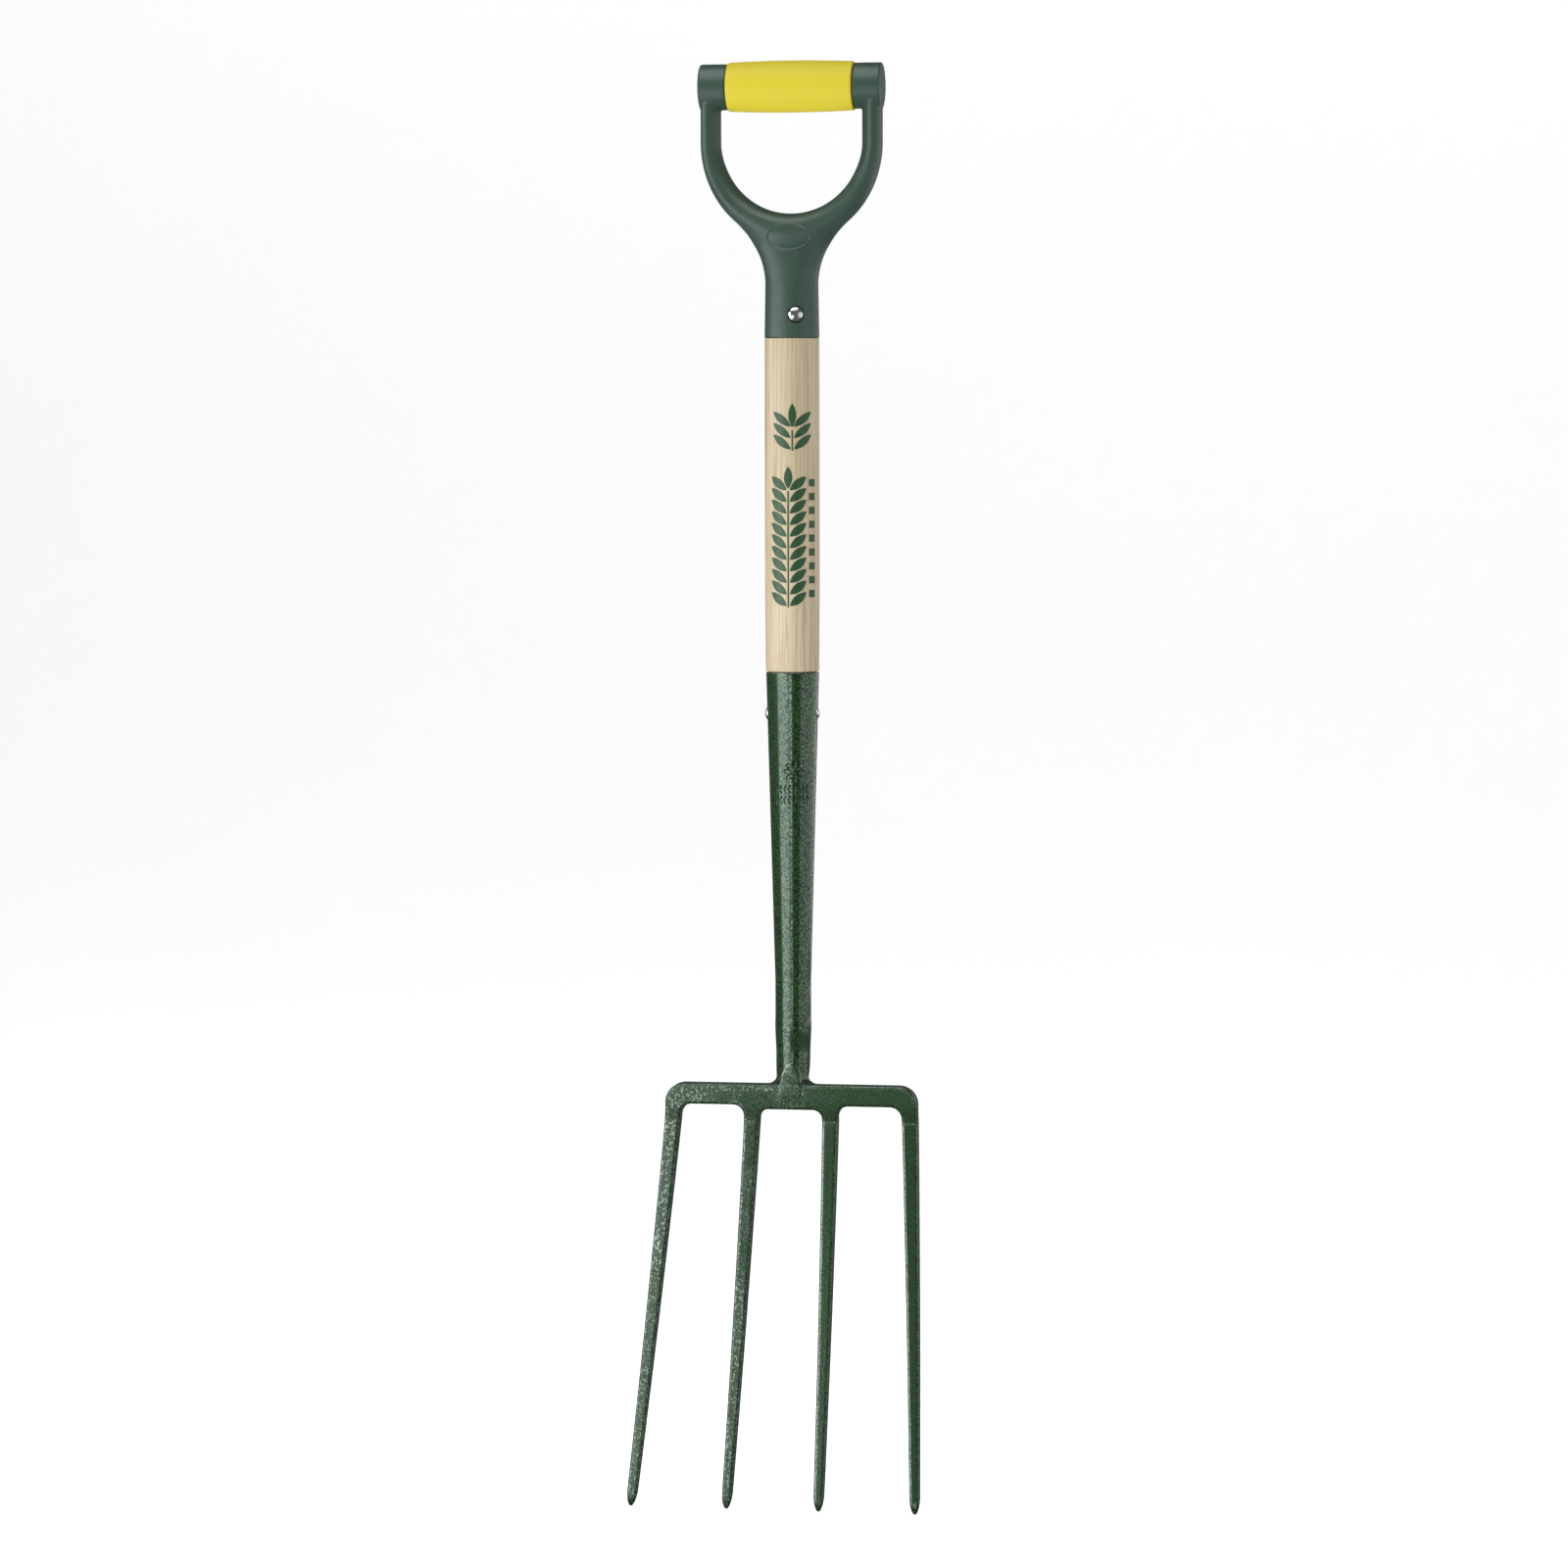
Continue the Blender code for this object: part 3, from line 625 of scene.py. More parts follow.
def make_rivets(material):
    tail_base = HANDLE_SEAT + BURR_THICKNESS + 2 * GAP
    make_rivet(
        "handle_rivet_looks",
        (HANDLE_HEAD_RADIUS, HANDLE_HEAD_RISE, HANDLE_SEAT + GAP),
        (SHANK_RADIUS * 1.35, HANDLE_HEAD_RISE / 2, tail_base),
        across(HANDLE_RIVET, HANDLE_RIVET_TURN),
        material,
    )
    make_rivet(
        "socket_rivet_looks",
        (SOCKET_HEAD_RADIUS, SOCKET_HEAD_RISE, SOCKET_SEAT + GAP),
        (SOCKET_TAIL_RADIUS, SOCKET_TAIL_RISE, SOCKET_SEAT + GAP),
        across(SOCKET_RIVET, SOCKET_RIVET_TURN),
        material,
    )


# Shaft and print


def socket_radius(height):
    """Outside radius of the steel socket: a short cylinder below a straight taper."""
    share = max(height - SOCKET_TAPER_END, 0) / (SOCKET_RIM - SOCKET_TAPER_END)
    return SOCKET_NECK_RADIUS * (1 - share) + SOCKET_RIM_RADIUS * share


def shaft_radius(height):
    """Radius of the visible shaft, which narrows a little down to the steel socket."""
    share = min(max((height - SOCKET_RIM) / (SHAFT_TAPER_START - SOCKET_RIM), 0), 1)
    return SHAFT_SHOULDER_RADIUS * (1 - share) + SHAFT_RADIUS * share


def shaft_profile():
    """(radius, height) from the end inside the steel socket, over the shoulder, to the top of the tenon."""
    shoulder, top = SOCKET_RIM + 2.5 * GAP, HANDLE_END - GAP
    bore = socket_radius(SHAFT_END) - SOCKET_WALL - GAP
    inner = [(0, SHAFT_END), (bore - SHAFT_CHAMFER, SHAFT_END), (bore, SHAFT_END + SHAFT_CHAMFER_HEIGHT)]
    inner.append((SOCKET_RIM_RADIUS - SOCKET_WALL - GAP, shoulder))
    heights = steps(shoulder + SHAFT_EDGE, SHAFT_TAPER_START, 6) + steps(SHAFT_TAPER_START, top, 6) + [top]
    outer = [(SHAFT_SHOULDER_RADIUS - SHAFT_EDGE, shoulder)] + [(shaft_radius(h), h) for h in heights]
    end = HANDLE_END + TENON_LENGTH
    tenon = [(TENON_RADIUS, top), (TENON_RADIUS, end - TENON_CHAMFER), (TENON_RADIUS - TENON_CHAMFER, end)]
    return [*inner, *outer, *tenon, (0, end)]


def make_shaft(material):
    place = Matrix.Translation((0, 0, TIPS))
    shaft = turned("ash_shaft", shaft_profile(), place, even_angles(128))
    cut(shaft, SHANK_RADIUS + GAP, -THROUGH, THROUGH, across(HANDLE_RIVET, HANDLE_RIVET_TURN))
    cut(shaft, SHANK_RADIUS + GAP, -THROUGH, THROUGH, across(SOCKET_RIVET, SOCKET_RIVET_TURN))
    finish_piece(shaft, material, "ash_wood", "shaft")


def leaf_patch(u, v, angle, length, width):
    """A pointed leaf as rows of (round, height) points, from its stalk at u, v. Angle 0 points up."""
    cos, sin = math.cos(angle), math.sin(angle)
    rows = []
    for i in range(13):
        along = i / 12
        share = LEAF_BLUNT + (1 - 2 * LEAF_BLUNT) * along
        half = width / 2 * math.sin(math.pi * share) ** LEAF_EXPONENT
        row = []
        for j in range(-3, 4):
            a, b = half * j / 3, length * along
            row.append((u + a * cos + b * sin, v - a * sin + b * cos))
        rows.append(row)
    return rows


def bar_patch(u, v, width, height):
    """A plain upright bar round its middle u, v."""
    return [[(u + width * (j / 4 - 0.5), v + height * (i / 4 - 0.5)) for j in range(5)] for i in range(5)]


def sprig(u, v, height, pairs, length, width):
    """A stalk with pairs of leaves, and one more at its top. The patches don't touch."""
    patches = []
    for i in range(pairs):
        foot = v + height * (i + 0.2) / (pairs + 1)
        for side in (-1, 1):
            patches.append(leaf_patch(u + side * STALK_WIDTH * 1.1, foot, side * LEAF_ANGLE, length, width))
    patches.append(leaf_patch(u, v + height - length * 0.9, 0, length, width))
    patches.append(bar_patch(u, v + (height - length) / 2, STALK_WIDTH, height - length * 1.05))
    return patches


def make_print(material):
    """The green print on the shaft: a sprig, a tall leafy band below it, and a column of short bars."""
    patches = sprig(u=0, v=0.7415, height=0.0320, pairs=3, length=0.0165, width=0.0056)
    patches += sprig(u=-0.0030, v=0.6310, height=0.0980, pairs=11, length=0.0150, width=0.0062)
    for i in range(9):
        patches.append(bar_patch(u=0.0155, v=0.6410 + 0.0098 * i, width=0.0058, height=0.0052))
    points, faces = [], []
    for patch in patches:
        lay_patch(patch, points, faces)
    obj = mesh_object("shaft_print", points, faces)
    outward(obj.data)
    finish_piece(obj, material, "printed_green")


def lay_patch(rows, points, faces):
    """Adds a closed thin solid that lies on the shaft where the rows of (round, height) points say."""
    wide, high = len(rows[0]), len(rows)
    first = len(points)
    for rise in (PRINT_RISE, -PRINT_RISE):
        for u, v in [point for row in rows for point in row]:
            angle = math.radians(PRINT_AZIMUTH) + u / shaft_radius(v)
            radius = shaft_radius(v) + rise
            points.append((radius * math.sin(angle), -radius * math.cos(angle), at_height(v)))
    back = high * wide
    for i in range(high - 1):
        for j in range(wide - 1):
            a = first + i * wide + j
            quad = [a, a + 1, a + wide + 1, a + wide]
            faces.append(quad)
            faces.append([corner + back for corner in reversed(quad)])
    rim = list(range(wide))
    rim += [i * wide + wide - 1 for i in range(1, high)]
    rim += [(high - 1) * wide + j for j in range(wide - 2, -1, -1)]
    rim += [i * wide for i in range(high - 2, 0, -1)]
    for a, b in zip(rim, rim[1:] + rim[:1]):
        faces.append([first + a, first + a + back, first + b + back, first + b])


# Steel socket


def leaf_share(u, v, angle, length, width):
    """1 inside a pointed leaf whose stalk is at the origin, and 0 outside it, with a soft edge."""
    along = (u * math.sin(angle) + v * math.cos(angle)) / length
    side = u * math.cos(angle) - v * math.sin(angle)
    half = width / 2 * np.sin(np.pi * np.clip(along, 0, 1)) ** LEAF_EXPONENT
    half = np.where((along < 0) | (along > 1), half - 0.001, half)
    return 1 - ease(np.abs(side) - half, -0.0006, 0.0002)


def stamp_share(u, v):
    """How deep the stamp is at a point: a rosette of leaves above two rows of lozenges."""
    depth = np.zeros_like(u)
    for angle in even_angles(ROSETTE_LEAVES):
        leaf_u, leaf_v = u - ROSETTE_HUB * math.sin(angle), v - ROSETTE_HUB * math.cos(angle)
        leaf = leaf_share(leaf_u, leaf_v, angle, ROSETTE_LEAF_LENGTH, ROSETTE_LEAF_WIDTH)
        depth = np.maximum(depth, leaf)
    for middle in LOZENGE_ROWS:
        for i in range(LOZENGES_IN_ROW):
            place = (i - (LOZENGES_IN_ROW - 1) / 2) * LOZENGE_PITCH + LOZENGE_SHIFT
            across_share = np.abs(u - place) / LOZENGE_HALF_WIDTH
            lozenge = across_share + np.abs(v - middle) / LOZENGE_HALF_HEIGHT
            depth = np.maximum(depth, 1 - ease(lozenge, 0.85, 1.15))
    return depth


def socket_profile():
    """(radius, height) up the outside of the tube and down its bore, with close rings at the stamp."""
    low, high = STAMP_HEIGHT - STAMP_BELOW, STAMP_HEIGHT + STAMP_ABOVE
    top = SOCKET_RIM - SOCKET_EDGE
    heights = steps(SOCKET_END, SOCKET_TAPER_END, 4) + steps(SOCKET_TAPER_END, low, 24)
    heights += steps(low, high, 130) + steps(high, top, 12) + [top]
    profile = [(socket_radius(h), h) for h in heights]
    for turn in quarter_turn(6)[1:]:
        edge = SOCKET_EDGE * (1 - math.cos(turn))
        profile.append((SOCKET_RIM_RADIUS - edge, top + SOCKET_EDGE * math.sin(turn)))
    for h in (SOCKET_RIM, SOCKET_TAPER_END, SOCKET_END):
        profile.append((socket_radius(h) - SOCKET_WALL, h))
    return profile


def make_socket(material):
    """The tapered tube, stamped on its front and seated for the rivet at its sides."""
    fine, coarse = range(-50, 76), range(78, 310, 3)  # degrees round from the front
    angles = [math.radians(azimuth - 90) for azimuth in (*fine, *coarse)]
    place = Matrix.Translation((0, 0, TIPS))
    socket = turned("steel_socket", socket_profile(), place, angles, closed=True)
    stamp(socket.data)
    left = across(SOCKET_RIVET, SOCKET_RIVET_TURN)
    cut(socket, SHANK_RADIUS + GAP, -THROUGH, THROUGH, left)
    cut(socket, SOCKET_HEAD_RADIUS + 2 * GAP, SOCKET_SEAT, THROUGH, left)
    cut(socket, SOCKET_TAIL_RADIUS + 2 * GAP, -THROUGH, -SOCKET_SEAT, left)
    finish_piece(socket, material, "hammered_green", "socket")


def stamp(mesh):
    """Presses the stamp into the outside of the socket."""
    points = points_of(mesh)
    radius = np.hypot(points[:, 0], points[:, 1])
    azimuth = np.arctan2(points[:, 0], -points[:, 1])
    u = (azimuth - math.radians(STAMP_AZIMUTH)) * radius
    v = points[:, 2] - STAMP_HEIGHT
    outer = radius > SOCKET_NECK_RADIUS + 0.0030  # not the bore
    near = outer & (np.abs(u) < STAMP_HALF_WIDTH) & (np.abs(v) < STAMP_BELOW)
    share = stamp_share(u[near], v[near])
    points[near, :2] *= (1 - STAMP_DEPTH * share / radius[near])[:, None]
    put_points(mesh, points)


# Forged head


def tine_lean(h):
    """The lean from upright, which grows evenly from the tine's root to its tip."""
    share = 1 - h / TINE_ROOT
    return TINE_ROOT_LEAN + (TINE_TIP_LEAN - TINE_ROOT_LEAN) * share


def forward(h):
    """Y of the middle of the bridge and of the tines at this height."""
    low = np.minimum(h, TINE_ROOT)
    bend = (TINE_TIP_LEAN - TINE_ROOT_LEAN) / TINE_ROOT
    fall = (np.log(np.cos(TINE_ROOT_LEAN)) - np.log(np.cos(tine_lean(low)))) / bend
    below = np.minimum(TINE_ROOT - low, TINE_BEND)
    return -BRIDGE_FORWARD - fall + math.tan(TINE_ROOT_LEAN) * (below - below**2 / (2 * TINE_BEND))


def tine_half(h):
    """Half the width of a tine: an even taper, then a rounded point."""
    share = 1 - h / TINE_ROOT
    size = TINE_ROOT_SIZE + (TINE_END_SIZE - TINE_ROOT_SIZE) * share
    point = np.clip(h / TINE_POINT, 0, 1)
    return size / 2 * np.sqrt(np.maximum(1 - (1 - point) ** 2, 1e-4))


def tine_middle(h, root, tip):
    return root + (tip - root) * (1 - h / TINE_ROOT)


def outline_distance(x, h):
    """The bridge and tines seen from the front: a plate with a rounded window between each two tines."""
    side = np.abs(x)
    half = tine_half(h)
    inner = tine_middle(h, INNER_ROOT, INNER_TIP)
    outer = tine_middle(h, OUTER_ROOT, OUTER_TIP)
    edge = np.where(h > TINE_STEP, BRIDGE_HALF_WIDTH, outer + half)
    plate = round_cut(side - edge, h - BRIDGE_TOP, TREAD_CORNER)
    middle_window = round_cut(side - inner + half, h - BRIDGE_TOP + BRIDGE_MIDDLE_DEPTH, MIDDLE_ROOT_CORNER)
    walls = np.maximum(inner + half - side, side - outer + half)
    side_window = round_cut(walls, h - BRIDGE_TOP + BRIDGE_DEPTH, ROOT_CORNER)
    return np.maximum(np.maximum(plate, -middle_window), np.maximum(-side_window, -h))


def plate_distance(x, t, h):
    """The bridge and tines, where t is the depth from their middle, which leans forwards at the tines."""
    share = ease(h, TINE_ROOT - TINE_FADE, BRIDGE_TOP - BRIDGE_DEPTH + 0.002)
    tine_depth = tine_half(h) / np.cos(tine_lean(np.minimum(h, TINE_ROOT)))
    half_depth = tine_depth * (1 - share) + BRIDGE_THICKNESS / 2 * share
    radius = np.minimum(FORGED_EDGE, half_depth * 0.6)
    outline = outline_distance(x, h) + radius
    depth = np.abs(t) - half_depth + radius
    inside = np.minimum(np.maximum(outline, depth), 0)
    return np.hypot(np.maximum(outline, 0), np.maximum(depth, 0)) + inside - radius


def neck_core_distance(x, y, h):
    """The round forged neck: a dressed weld swells out at its top, and its back runs into the bridge."""
    swell = WELD_RISE * ease(h, WELD - WELD_FADE, WELD)
    swell = swell - (WELD_RISE - WELD_END_RISE) * ease(h, WELD, HEAD_TOP)
    round_part = np.hypot(x, y) - NECK_RADIUS - swell
    back = NECK_BACK_FACE[0] * (y - NECK_RADIUS) + NECK_BACK_FACE[1] * (h - NECK_BACK_TOP)
    ends = np.maximum(h - HEAD_TOP, BRIDGE_TOP - BRIDGE_DEPTH / 2 - h)
    return np.maximum(smooth_cut(round_part, back, NECK_BACK_BLEND), ends)


def tongue_distance(x, y, h):
    """The flat front of the bridge, running up the neck as a sloping arch."""
    share = np.maximum((h - TONGUE_FOOT) / (TONGUE_TOP - TONGUE_FOOT), 0)
    foot = BRIDGE_FORWARD + BRIDGE_THICKNESS / 2 - TONGUE_SINK
    front = -y - foot + (foot - NECK_RADIUS + TONGUE_SINK) * share
    sides = np.abs(x) - TONGUE_HALF_WIDTH * np.sqrt(np.maximum(1 - share**2, 1e-4))
    ends = np.maximum(h - TONGUE_TOP, BRIDGE_TOP - BRIDGE_DEPTH / 2 - h)
    return np.maximum(smooth_cut(smooth_cut(front, sides, TONGUE_EDGE), ends, FRONT_EDGE), y)


def head_distance(x, t, h):
    """The whole head, where t is the depth from the middle of the bridge and the tines."""
    y = t + forward(h)
    plate = plate_distance(x, t, h)
    body = fillet_union(plate, neck_core_distance(x, y, h), NECK_FILLET)
    body = smooth_cut(body, -y - BRIDGE_FORWARD - BRIDGE_THICKNESS / 2, FRONT_EDGE)
    body = np.where(h > TINE_ROOT, body, plate)
    return smooth_union(body, tongue_distance(x, y, h), TONGUE_BLEND)


def make_head(material):
    """One skin over the forging and the dressed welds, built with the lean of the tines taken out."""
    side = OUTER_TIP + HEAD_GRID_SIDE
    low = (-side, HEAD_GRID_FRONT, -GRID_ROOM)
    high = (side, HEAD_GRID_BACK, HEAD_TOP + GRID_ROOM)
    head = skin("forged_head", head_distance, low, high, HEAD_CELL)
    points = points_of(head.data)
    points[:, 1] += forward(points[:, 2])
    put_points(head.data, points)
    tines = [f"tine_{number}" for number in range(1, 5)]
    finish_piece(head, material, "hammered_green", "head_bridge", "neck_weld", *tines)


# Materials


class Shader:
    """A Principled material, and short ways to add nodes to it."""

    def __init__(self, name, **values):
        self.material = bpy.data.materials.new(name)
        self.material.use_nodes = True
        self.tree = self.material.node_tree
        self.principled = self.tree.nodes["Principled BSDF"]
        for socket, value in values.items():
            self.principled.inputs[socket.replace("_", " ")].default_value = value

    def add(self, kind, inputs=None, output=0, **settings):
        """Adds a node and returns one of its outputs. An input is a number, a tuple or another output."""
        node = self.tree.nodes.new(kind)
        for name, value in settings.items():
            setattr(node, name, value)
        for socket, value in (inputs or {}).items():
            if isinstance(value, bpy.types.NodeSocket):
                self.tree.links.new(value, node.inputs[socket])
            else:
                node.inputs[socket].default_value = value
        return node.outputs[output]

    def drive(self, socket, output):
        """Links an output to one of the Principled shader's inputs."""
        self.tree.links.new(output, self.principled.inputs[socket])

    def place(self, scale=(1, 1, 1)):
        """Coordinates in metres, stretched by the scale."""
        where = self.add("ShaderNodeTexCoord", output="Object")
        return self.add("ShaderNodeMapping", {"Vector": where, "Scale": scale})

    def along(self, axis):
        """One of the coordinates: 0 is x, 1 is y and 2 is z."""
        return self.add("ShaderNodeSeparateXYZ", {"Vector": self.place()}, output=axis)

    def noise(self, where, scale, detail=2.0, roughness=0.5):
        """Fractal noise, mostly between 0.3 and 0.7."""
        inputs = {"Vector": where, "Scale": scale, "Detail": detail, "Roughness": roughness}
        return self.add("ShaderNodeTexNoise", inputs)

    def cells(self, where, scale):
        """Soft round cells: 0 in the middle of each one."""
        inputs = {"Vector": where, "Scale": scale, "Smoothness": 0.6}
        return self.add("ShaderNodeTexVoronoi", inputs, output="Distance", feature="SMOOTH_F1")

    def math(self, operation, a, b):
        return self.add("ShaderNodeMath", {0: a, 1: b}, operation=operation)

    def mix(self, share, a, b):
        """A number between a and b."""
        return self.math("ADD", self.math("MULTIPLY", share, self.math("SUBTRACT", b, a)), a)

    def spread(self, value, low, high, to_low=0.0, to_high=1.0):
        """Maps low..high to to_low..to_high, clamped."""
        inputs = {"Value": value, "From Min": low, "From Max": high, "To Min": to_low, "To Max": to_high}
        return self.add("ShaderNodeMapRange", inputs)

    def blend(self, share, a, b):
        """A colour between a and b."""
        inputs = {"Factor": share, "A": colour(a), "B": colour(b)}
        return self.add("ShaderNodeMix", inputs, output="Result", data_type="RGBA")

    def bump(self, height, distance, under=None):
        """A normal tilted by a relief of this distance, over an earlier one."""
        inputs = {"Height": height, "Distance": distance, "Strength": 1.0}
        if under:
            inputs["Normal"] = under
        return self.add("ShaderNodeBump", inputs)


def colour(value):
    """A three-part colour with its alpha added. Anything else is passed on."""
    return (*value, 1.0) if isinstance(value, tuple) and len(value) == 3 else value


def moulded_green():
    """Satin polypropylene: a fine mould grain, a slow unevenness and faint rubbed patches."""
    s = Shader("moulded_green")
    where = s.place()
    base = s.blend(s.spread(s.noise(where, 38, 3), 0.35, 0.65), (0.024, 0.053, 0.038), (0.029, 0.062, 0.045))
    rubbed = s.spread(s.noise(where, 260, 4), 0.58, 0.74, 0.0, 0.35)
    s.drive("Base Color", s.blend(rubbed, base, (0.040, 0.072, 0.057)))
    s.drive("Roughness", s.spread(s.noise(where, 170, 4), 0.3, 0.7, 0.34, 0.47))
    grain = s.bump(s.noise(where, 2600, 3), 0.00006)
    s.drive("Normal", s.bump(s.noise(where, 160, 2), 0.00012, under=grain))
    return s.material


def soft_yellow():
    """Soft-touch elastomer: matt, with a fine even grain."""
    s = Shader("soft_yellow")
    where = s.place()
    s.drive("Base Color", s.blend(s.noise(where, 45, 3), (0.53, 0.445, 0.009), (0.58, 0.485, 0.013)))
    s.drive("Roughness", s.spread(s.noise(where, 300, 4), 0.3, 0.7, 0.54, 0.68))
    grain = s.bump(s.cells(where, 2400), 0.00005)
    s.drive("Normal", s.bump(s.noise(where, 240, 2), 0.00008, under=grain))
    return s.material


def polished_steel():
    """Bright plated steel with fine scratches."""
    s = Shader("polished_steel", Metallic=1.0)
    where = s.place()
    scratches = s.noise(s.place((1, 0.2, 0.2)), 5200, 2)
    s.drive("Base Color", s.blend(s.noise(where, 400), (0.74, 0.74, 0.73), (0.84, 0.84, 0.83)))
    s.drive("Roughness", s.spread(s.noise(where, 900, 4), 0.3, 0.7, 0.12, 0.28))
    s.drive("Normal", s.bump(scratches, 0.00002))
    return s.material


def ash():
    """Sanded, lacquered ash: straight grain with open pores, and broad slow changes of tone."""
    s = Shader("ash")
    rings = s.noise(s.place((1, 0.55, 0.012)), 420, 4, 0.65)
    pores = s.noise(s.place((1, 1, 0.025)), 1500, 2)
    figure = s.noise(s.place((1, 1, 0.12)), 40, 2)
    early = s.blend(s.spread(figure, 0.35, 0.65), (0.43, 0.355, 0.235), (0.49, 0.415, 0.29))
    ringed = s.blend(s.spread(rings, 0.47, 0.68, 0.0, 0.85), early, (0.30, 0.215, 0.120))
    s.drive("Base Color", s.blend(s.spread(pores, 0.56, 0.72, 0.0, 0.6), ringed, (0.22, 0.15, 0.085)))
    s.drive("Roughness", s.spread(rings, 0.35, 0.7, 0.38, 0.52))
    s.drive("Normal", s.bump(pores, 0.00006, under=s.bump(rings, 0.00008)))
    return s.material


def printed_ink():
    """Dark green ink that thins out over the pores of the wood."""
    s = Shader("printed_ink")
    pores = s.noise(s.place((1, 1, 0.03)), 1900, 2)
    thin = s.spread(pores, 0.60, 0.78, 0.0, 0.5)
    s.drive("Base Color", s.blend(thin, (0.014, 0.058, 0.021), (0.075, 0.115, 0.060)))
    s.drive("Roughness", s.spread(pores, 0.4, 0.7, 0.34, 0.5))
    s.drive("Normal", s.bump(pores, 0.00004))
    return s.material


def hammertone():
    """Hammer-finish paint: dark green with lighter glossy flakes, wrinkled coarsely on the head's left."""
    s = Shader(
        "hammertone",
        Specular_IOR_Level=0.8,
        Specular_Tint=(0.75, 1.0, 0.84, 1.0),
        Coat_Roughness=0.05,
    )
    left = s.spread(s.along(0), 0.012, -0.012)
    low = s.spread(s.along(2), at_height(0.300), at_height(0.286))
    uneven = s.spread(s.noise(s.place(), 30, 2), 0.3, 0.5, 0.75, 1.0)
    thick = s.math("MULTIPLY", s.math("MULTIPLY", left, low), uneven)
    fine = s.spread(s.noise(s.place(), 680, 1.0), 0.44, 0.56)
    coarse = s.spread(s.noise(s.place((1, 1, 0.8)), 580, 1.5), 0.49, 0.55)
    flakes = s.mix(thick, fine, coarse)
    s.drive("Base Color", s.blend(flakes, (0.001, 0.006, 0.001), (0.012, 0.045, 0.010)))
    s.drive("Roughness", s.mix(flakes, 0.30, 0.08))
    s.drive("Coat Weight", s.mix(flakes, 0.1, 1.0))
    relief = s.math("MULTIPLY", flakes, s.mix(thick, 0.000012, 0.00045))
    normal = s.bump(relief, 1.0)
    s.drive("Normal", normal)
    s.drive("Coat Normal", normal)
    return s.material


# Studio


def around(azimuth, distance, height):
    """A point round the shaft's axis, with the azimuth in degrees."""
    angle = math.radians(azimuth)
    return Vector((distance * math.sin(angle), -distance * math.cos(angle), at_height(height)))


def make_camera():
    data = bpy.data.cameras.new("camera")
    data.lens = CAMERA_LENS
    data.sensor_width = 36.0
    camera = bpy.data.objects.new("camera", data)
    bpy.context.scene.collection.objects.link(camera)
    a, e, r = (math.radians(angle) for angle in (CAMERA_AZIMUTH, CAMERA_ELEVATION, CAMERA_ROLL))
    back = Vector((math.sin(a) * math.cos(e), -math.cos(a) * math.cos(e), math.sin(e)))
    level = Vector((math.cos(a), math.sin(a), 0))
    upright = back.cross(level)
    right = level * math.cos(r) + upright * math.sin(r)
    up = upright * math.cos(r) - level * math.sin(r)
    aim = Vector((0, 0, at_height(AIM_HEIGHT))) + level * AIM_RIGHT
    place = aim + back * CAMERA_DISTANCE
    camera.matrix_world = Matrix(
        (
            (right.x, up.x, back.x, place.x),
            (right.y, up.y, back.y, place.y),
            (right.z, up.z, back.z, place.z),
            (0, 0, 0, 1),
        )
    )
    bpy.context.scene.camera = camera


def make_light(name, place, target, size, brightness):
    """A softbox. Its power grows with its size, so that boxes of the same brightness look equally bright."""
    data = bpy.data.lights.new(name, "AREA")
    data.shape = "RECTANGLE"
    data.size, data.size_y = size
    data.energy = brightness * SOFTBOX_WATTS * size[0] * size[1]
    light = bpy.data.objects.new(name, data)
    light.location = place
    light.rotation_euler = (Vector(target) - Vector(place)).to_track_quat("-Z", "Y").to_euler()
    light.visible_camera = False
    bpy.context.scene.collection.objects.link(light)


def make_panel(name, start, end, distance, low, high, brightness):
    """A softbox that covers the azimuths from start to end, this far away, between two heights."""
    a, b = around(start, distance, low), around(end, distance, low)
    middle = (a + b) / 2
    middle.z = at_height((low + high) / 2)
    make_light(name, middle, (0, 0, middle.z), ((b - a).length, high - low), brightness)


def make_studio():
    """The lights. The softboxes at the left and the strips in front draw the light bands on the paint."""
    # Azimuths from and to, distance, heights from and to, brightness
    make_panel("key_softbox", -92, -31, 2.4, 0.62, 1.60, 2.3)
    make_panel("tine_softbox", -60, -14.5, 0.90, 0.515, 0.72, 2.6)
    make_panel("socket_softbox", -60, -8.5, 0.90, 0.21, 0.514, 1.95)
    make_panel("bridge_softbox", -60, -14.0, 0.90, 0.06, 0.209, 2.1)
    make_panel("socket_strip", -6, 5.6, 2.00, 0.20, 0.55, 2.1)
    make_panel("neck_strip", -2, 5.6, 2.00, 0.02, 0.19, 2.1)
    make_panel("right_panel", 46, 118, 2.4, 0.0, 1.4, 0.6)
    make_panel("back_panel", 118, 160, 2.4, 0.12, 1.4, 0.6)
    make_light("top_panel", (0, -0.9, at_height(3.1)), (0, 0, at_height(0.9)), (2.6, 2.4), 2.4)
    bpy.context.scene.view_settings.view_transform = "Standard"


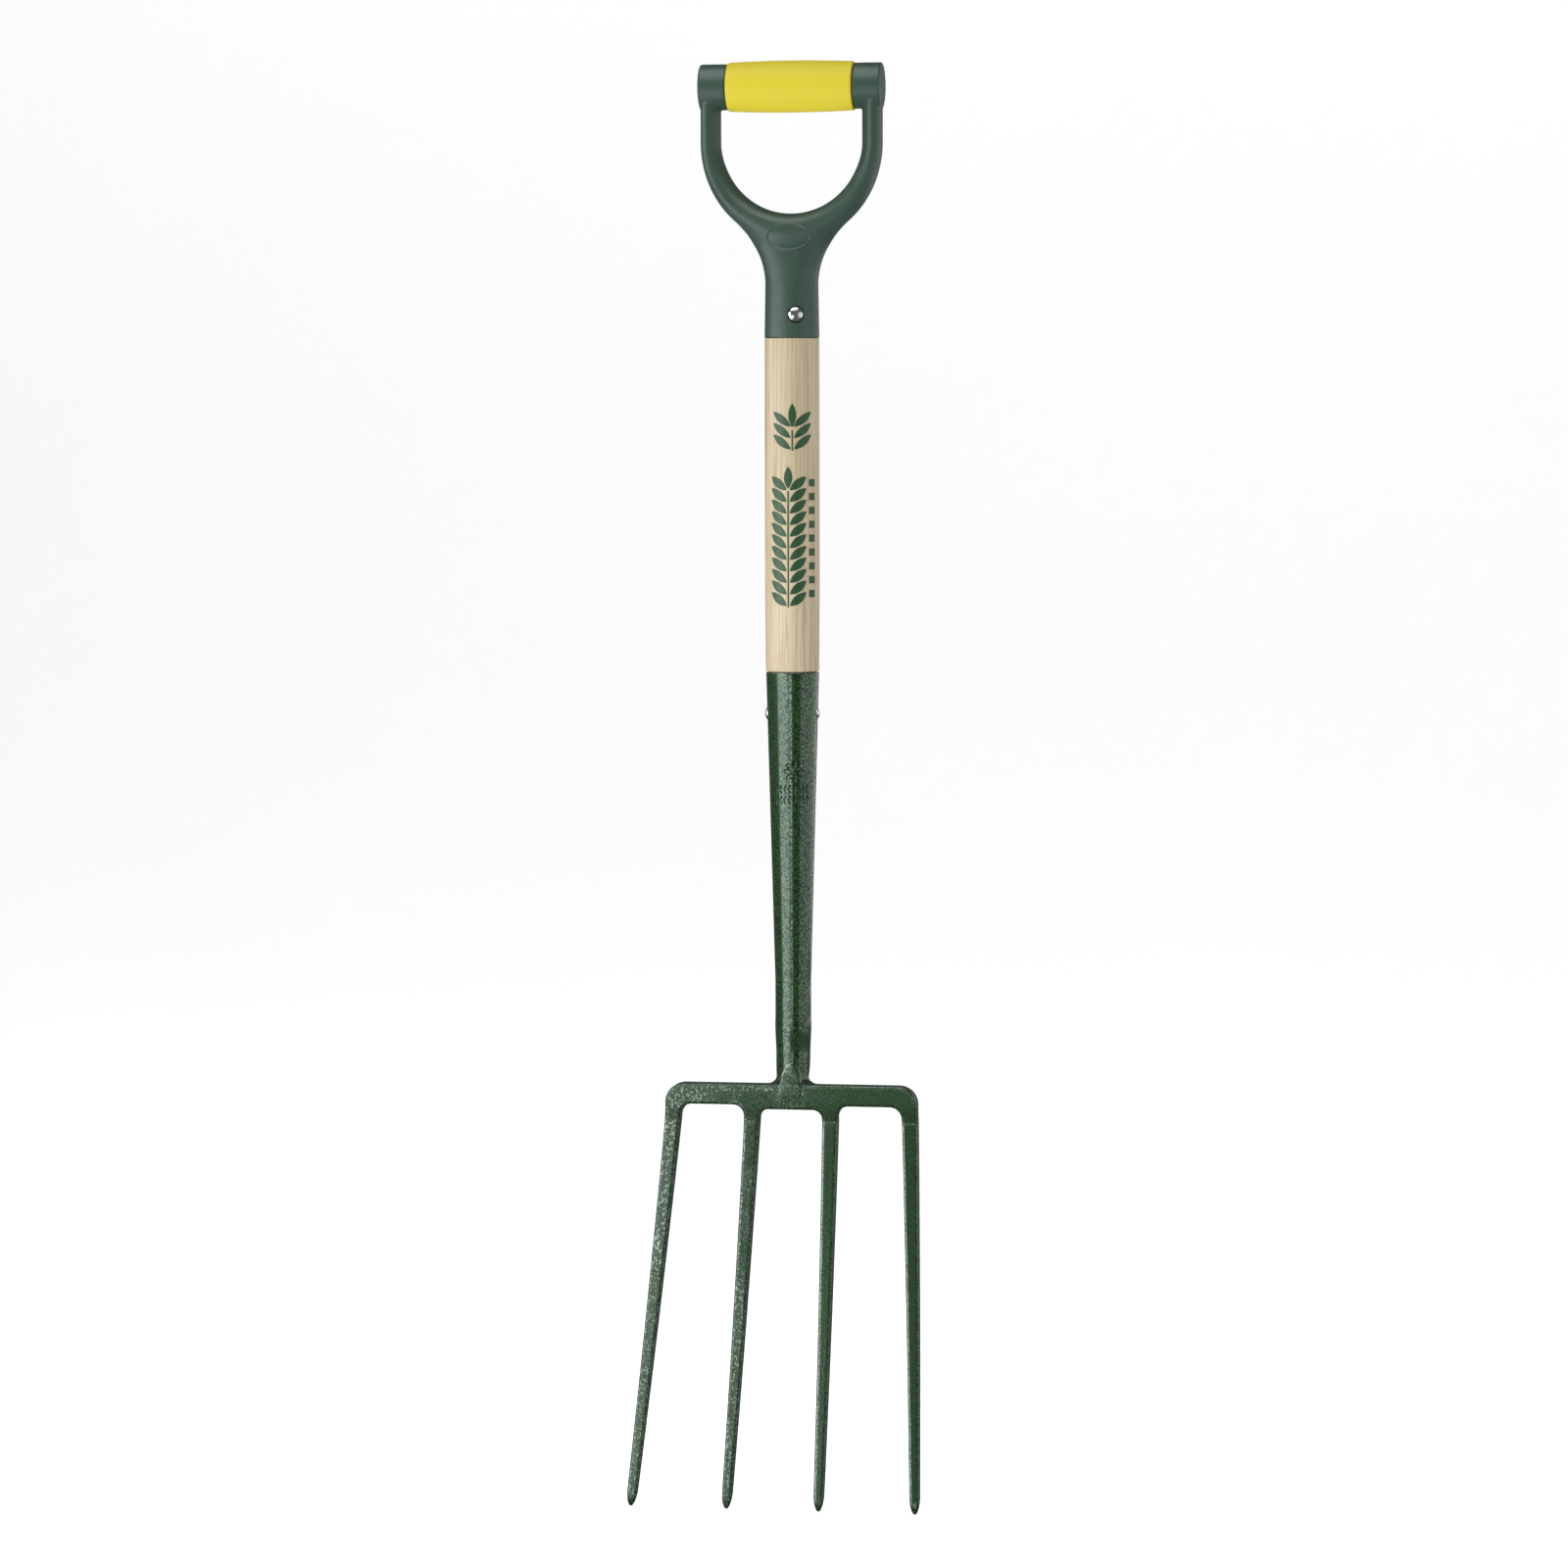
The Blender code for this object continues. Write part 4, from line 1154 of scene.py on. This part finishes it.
def make_world():
    """A dim sky, so that the paint's dark bands stay dark, that looks pale where the camera sees it."""
    world = bpy.data.worlds.new("studio")
    bpy.context.scene.world = world
    world.use_nodes = True
    sky = world.node_tree.nodes["Background"]
    sky.inputs["Color"].default_value = (1, 1, 1, 1)
    rays = world.node_tree.nodes.new("ShaderNodeLightPath")
    strength = world.node_tree.nodes.new("ShaderNodeMapRange")
    strength.inputs["To Min"].default_value = SKY_LIGHT
    strength.inputs["To Max"].default_value = SKY_SEEN
    world.node_tree.links.new(rays.outputs["Is Camera Ray"], strength.inputs["Value"])
    world.node_tree.links.new(strength.outputs["Result"], sky.inputs["Strength"])


def make_floor():
    """A pale sweep: flat under the fork, then curving up behind it."""
    bm = bmesh.new()
    profile = [(SWEEP_FRONT, 0.0)]
    for turn in quarter_turn(12):
        profile.append((SWEEP_BEND + SWEEP_RADIUS * math.sin(turn), SWEEP_RADIUS * (1 - math.cos(turn))))
    profile.append((SWEEP_BEND + SWEEP_RADIUS, SWEEP_TOP))
    rows = []
    for y, z in profile:
        ends = (-SWEEP_HALF_WIDTH, SWEEP_HALF_WIDTH)
        rows.append([bm.verts.new((x, y, at_height(z) - SWEEP_GAP)) for x in ends])
    for a, b in zip(rows, rows[1:]):
        bm.faces.new((a[0], a[1], b[1], b[0]))
    mesh = bpy.data.meshes.new("sweep")
    bm.to_mesh(mesh)
    bm.free()
    mesh.shade_smooth()
    floor = bpy.data.objects.new("sweep", mesh)
    bpy.context.scene.collection.objects.link(floor)
    s = Shader("pale_floor", Roughness=0.9, Emission_Color=(1, 1, 1, 1), Emission_Strength=0.55)
    s.drive("Base Color", s.blend(s.noise(s.place(), 3), (0.87, 0.87, 0.87), (0.89, 0.89, 0.89)))
    mesh.materials.append(s.material)
    floor.visible_glossy = False


def main():
    make_camera()
    make_studio()
    make_world()
    make_floor()
    steel = polished_steel()
    make_handle(moulded_green())
    make_grip(soft_yellow())
    make_rivets(steel)
    finish_node("handle_rivet_burr", steel)
    make_shaft(ash())
    make_print(printed_ink())
    paint = hammertone()
    make_socket(paint)
    make_head(paint)


main()
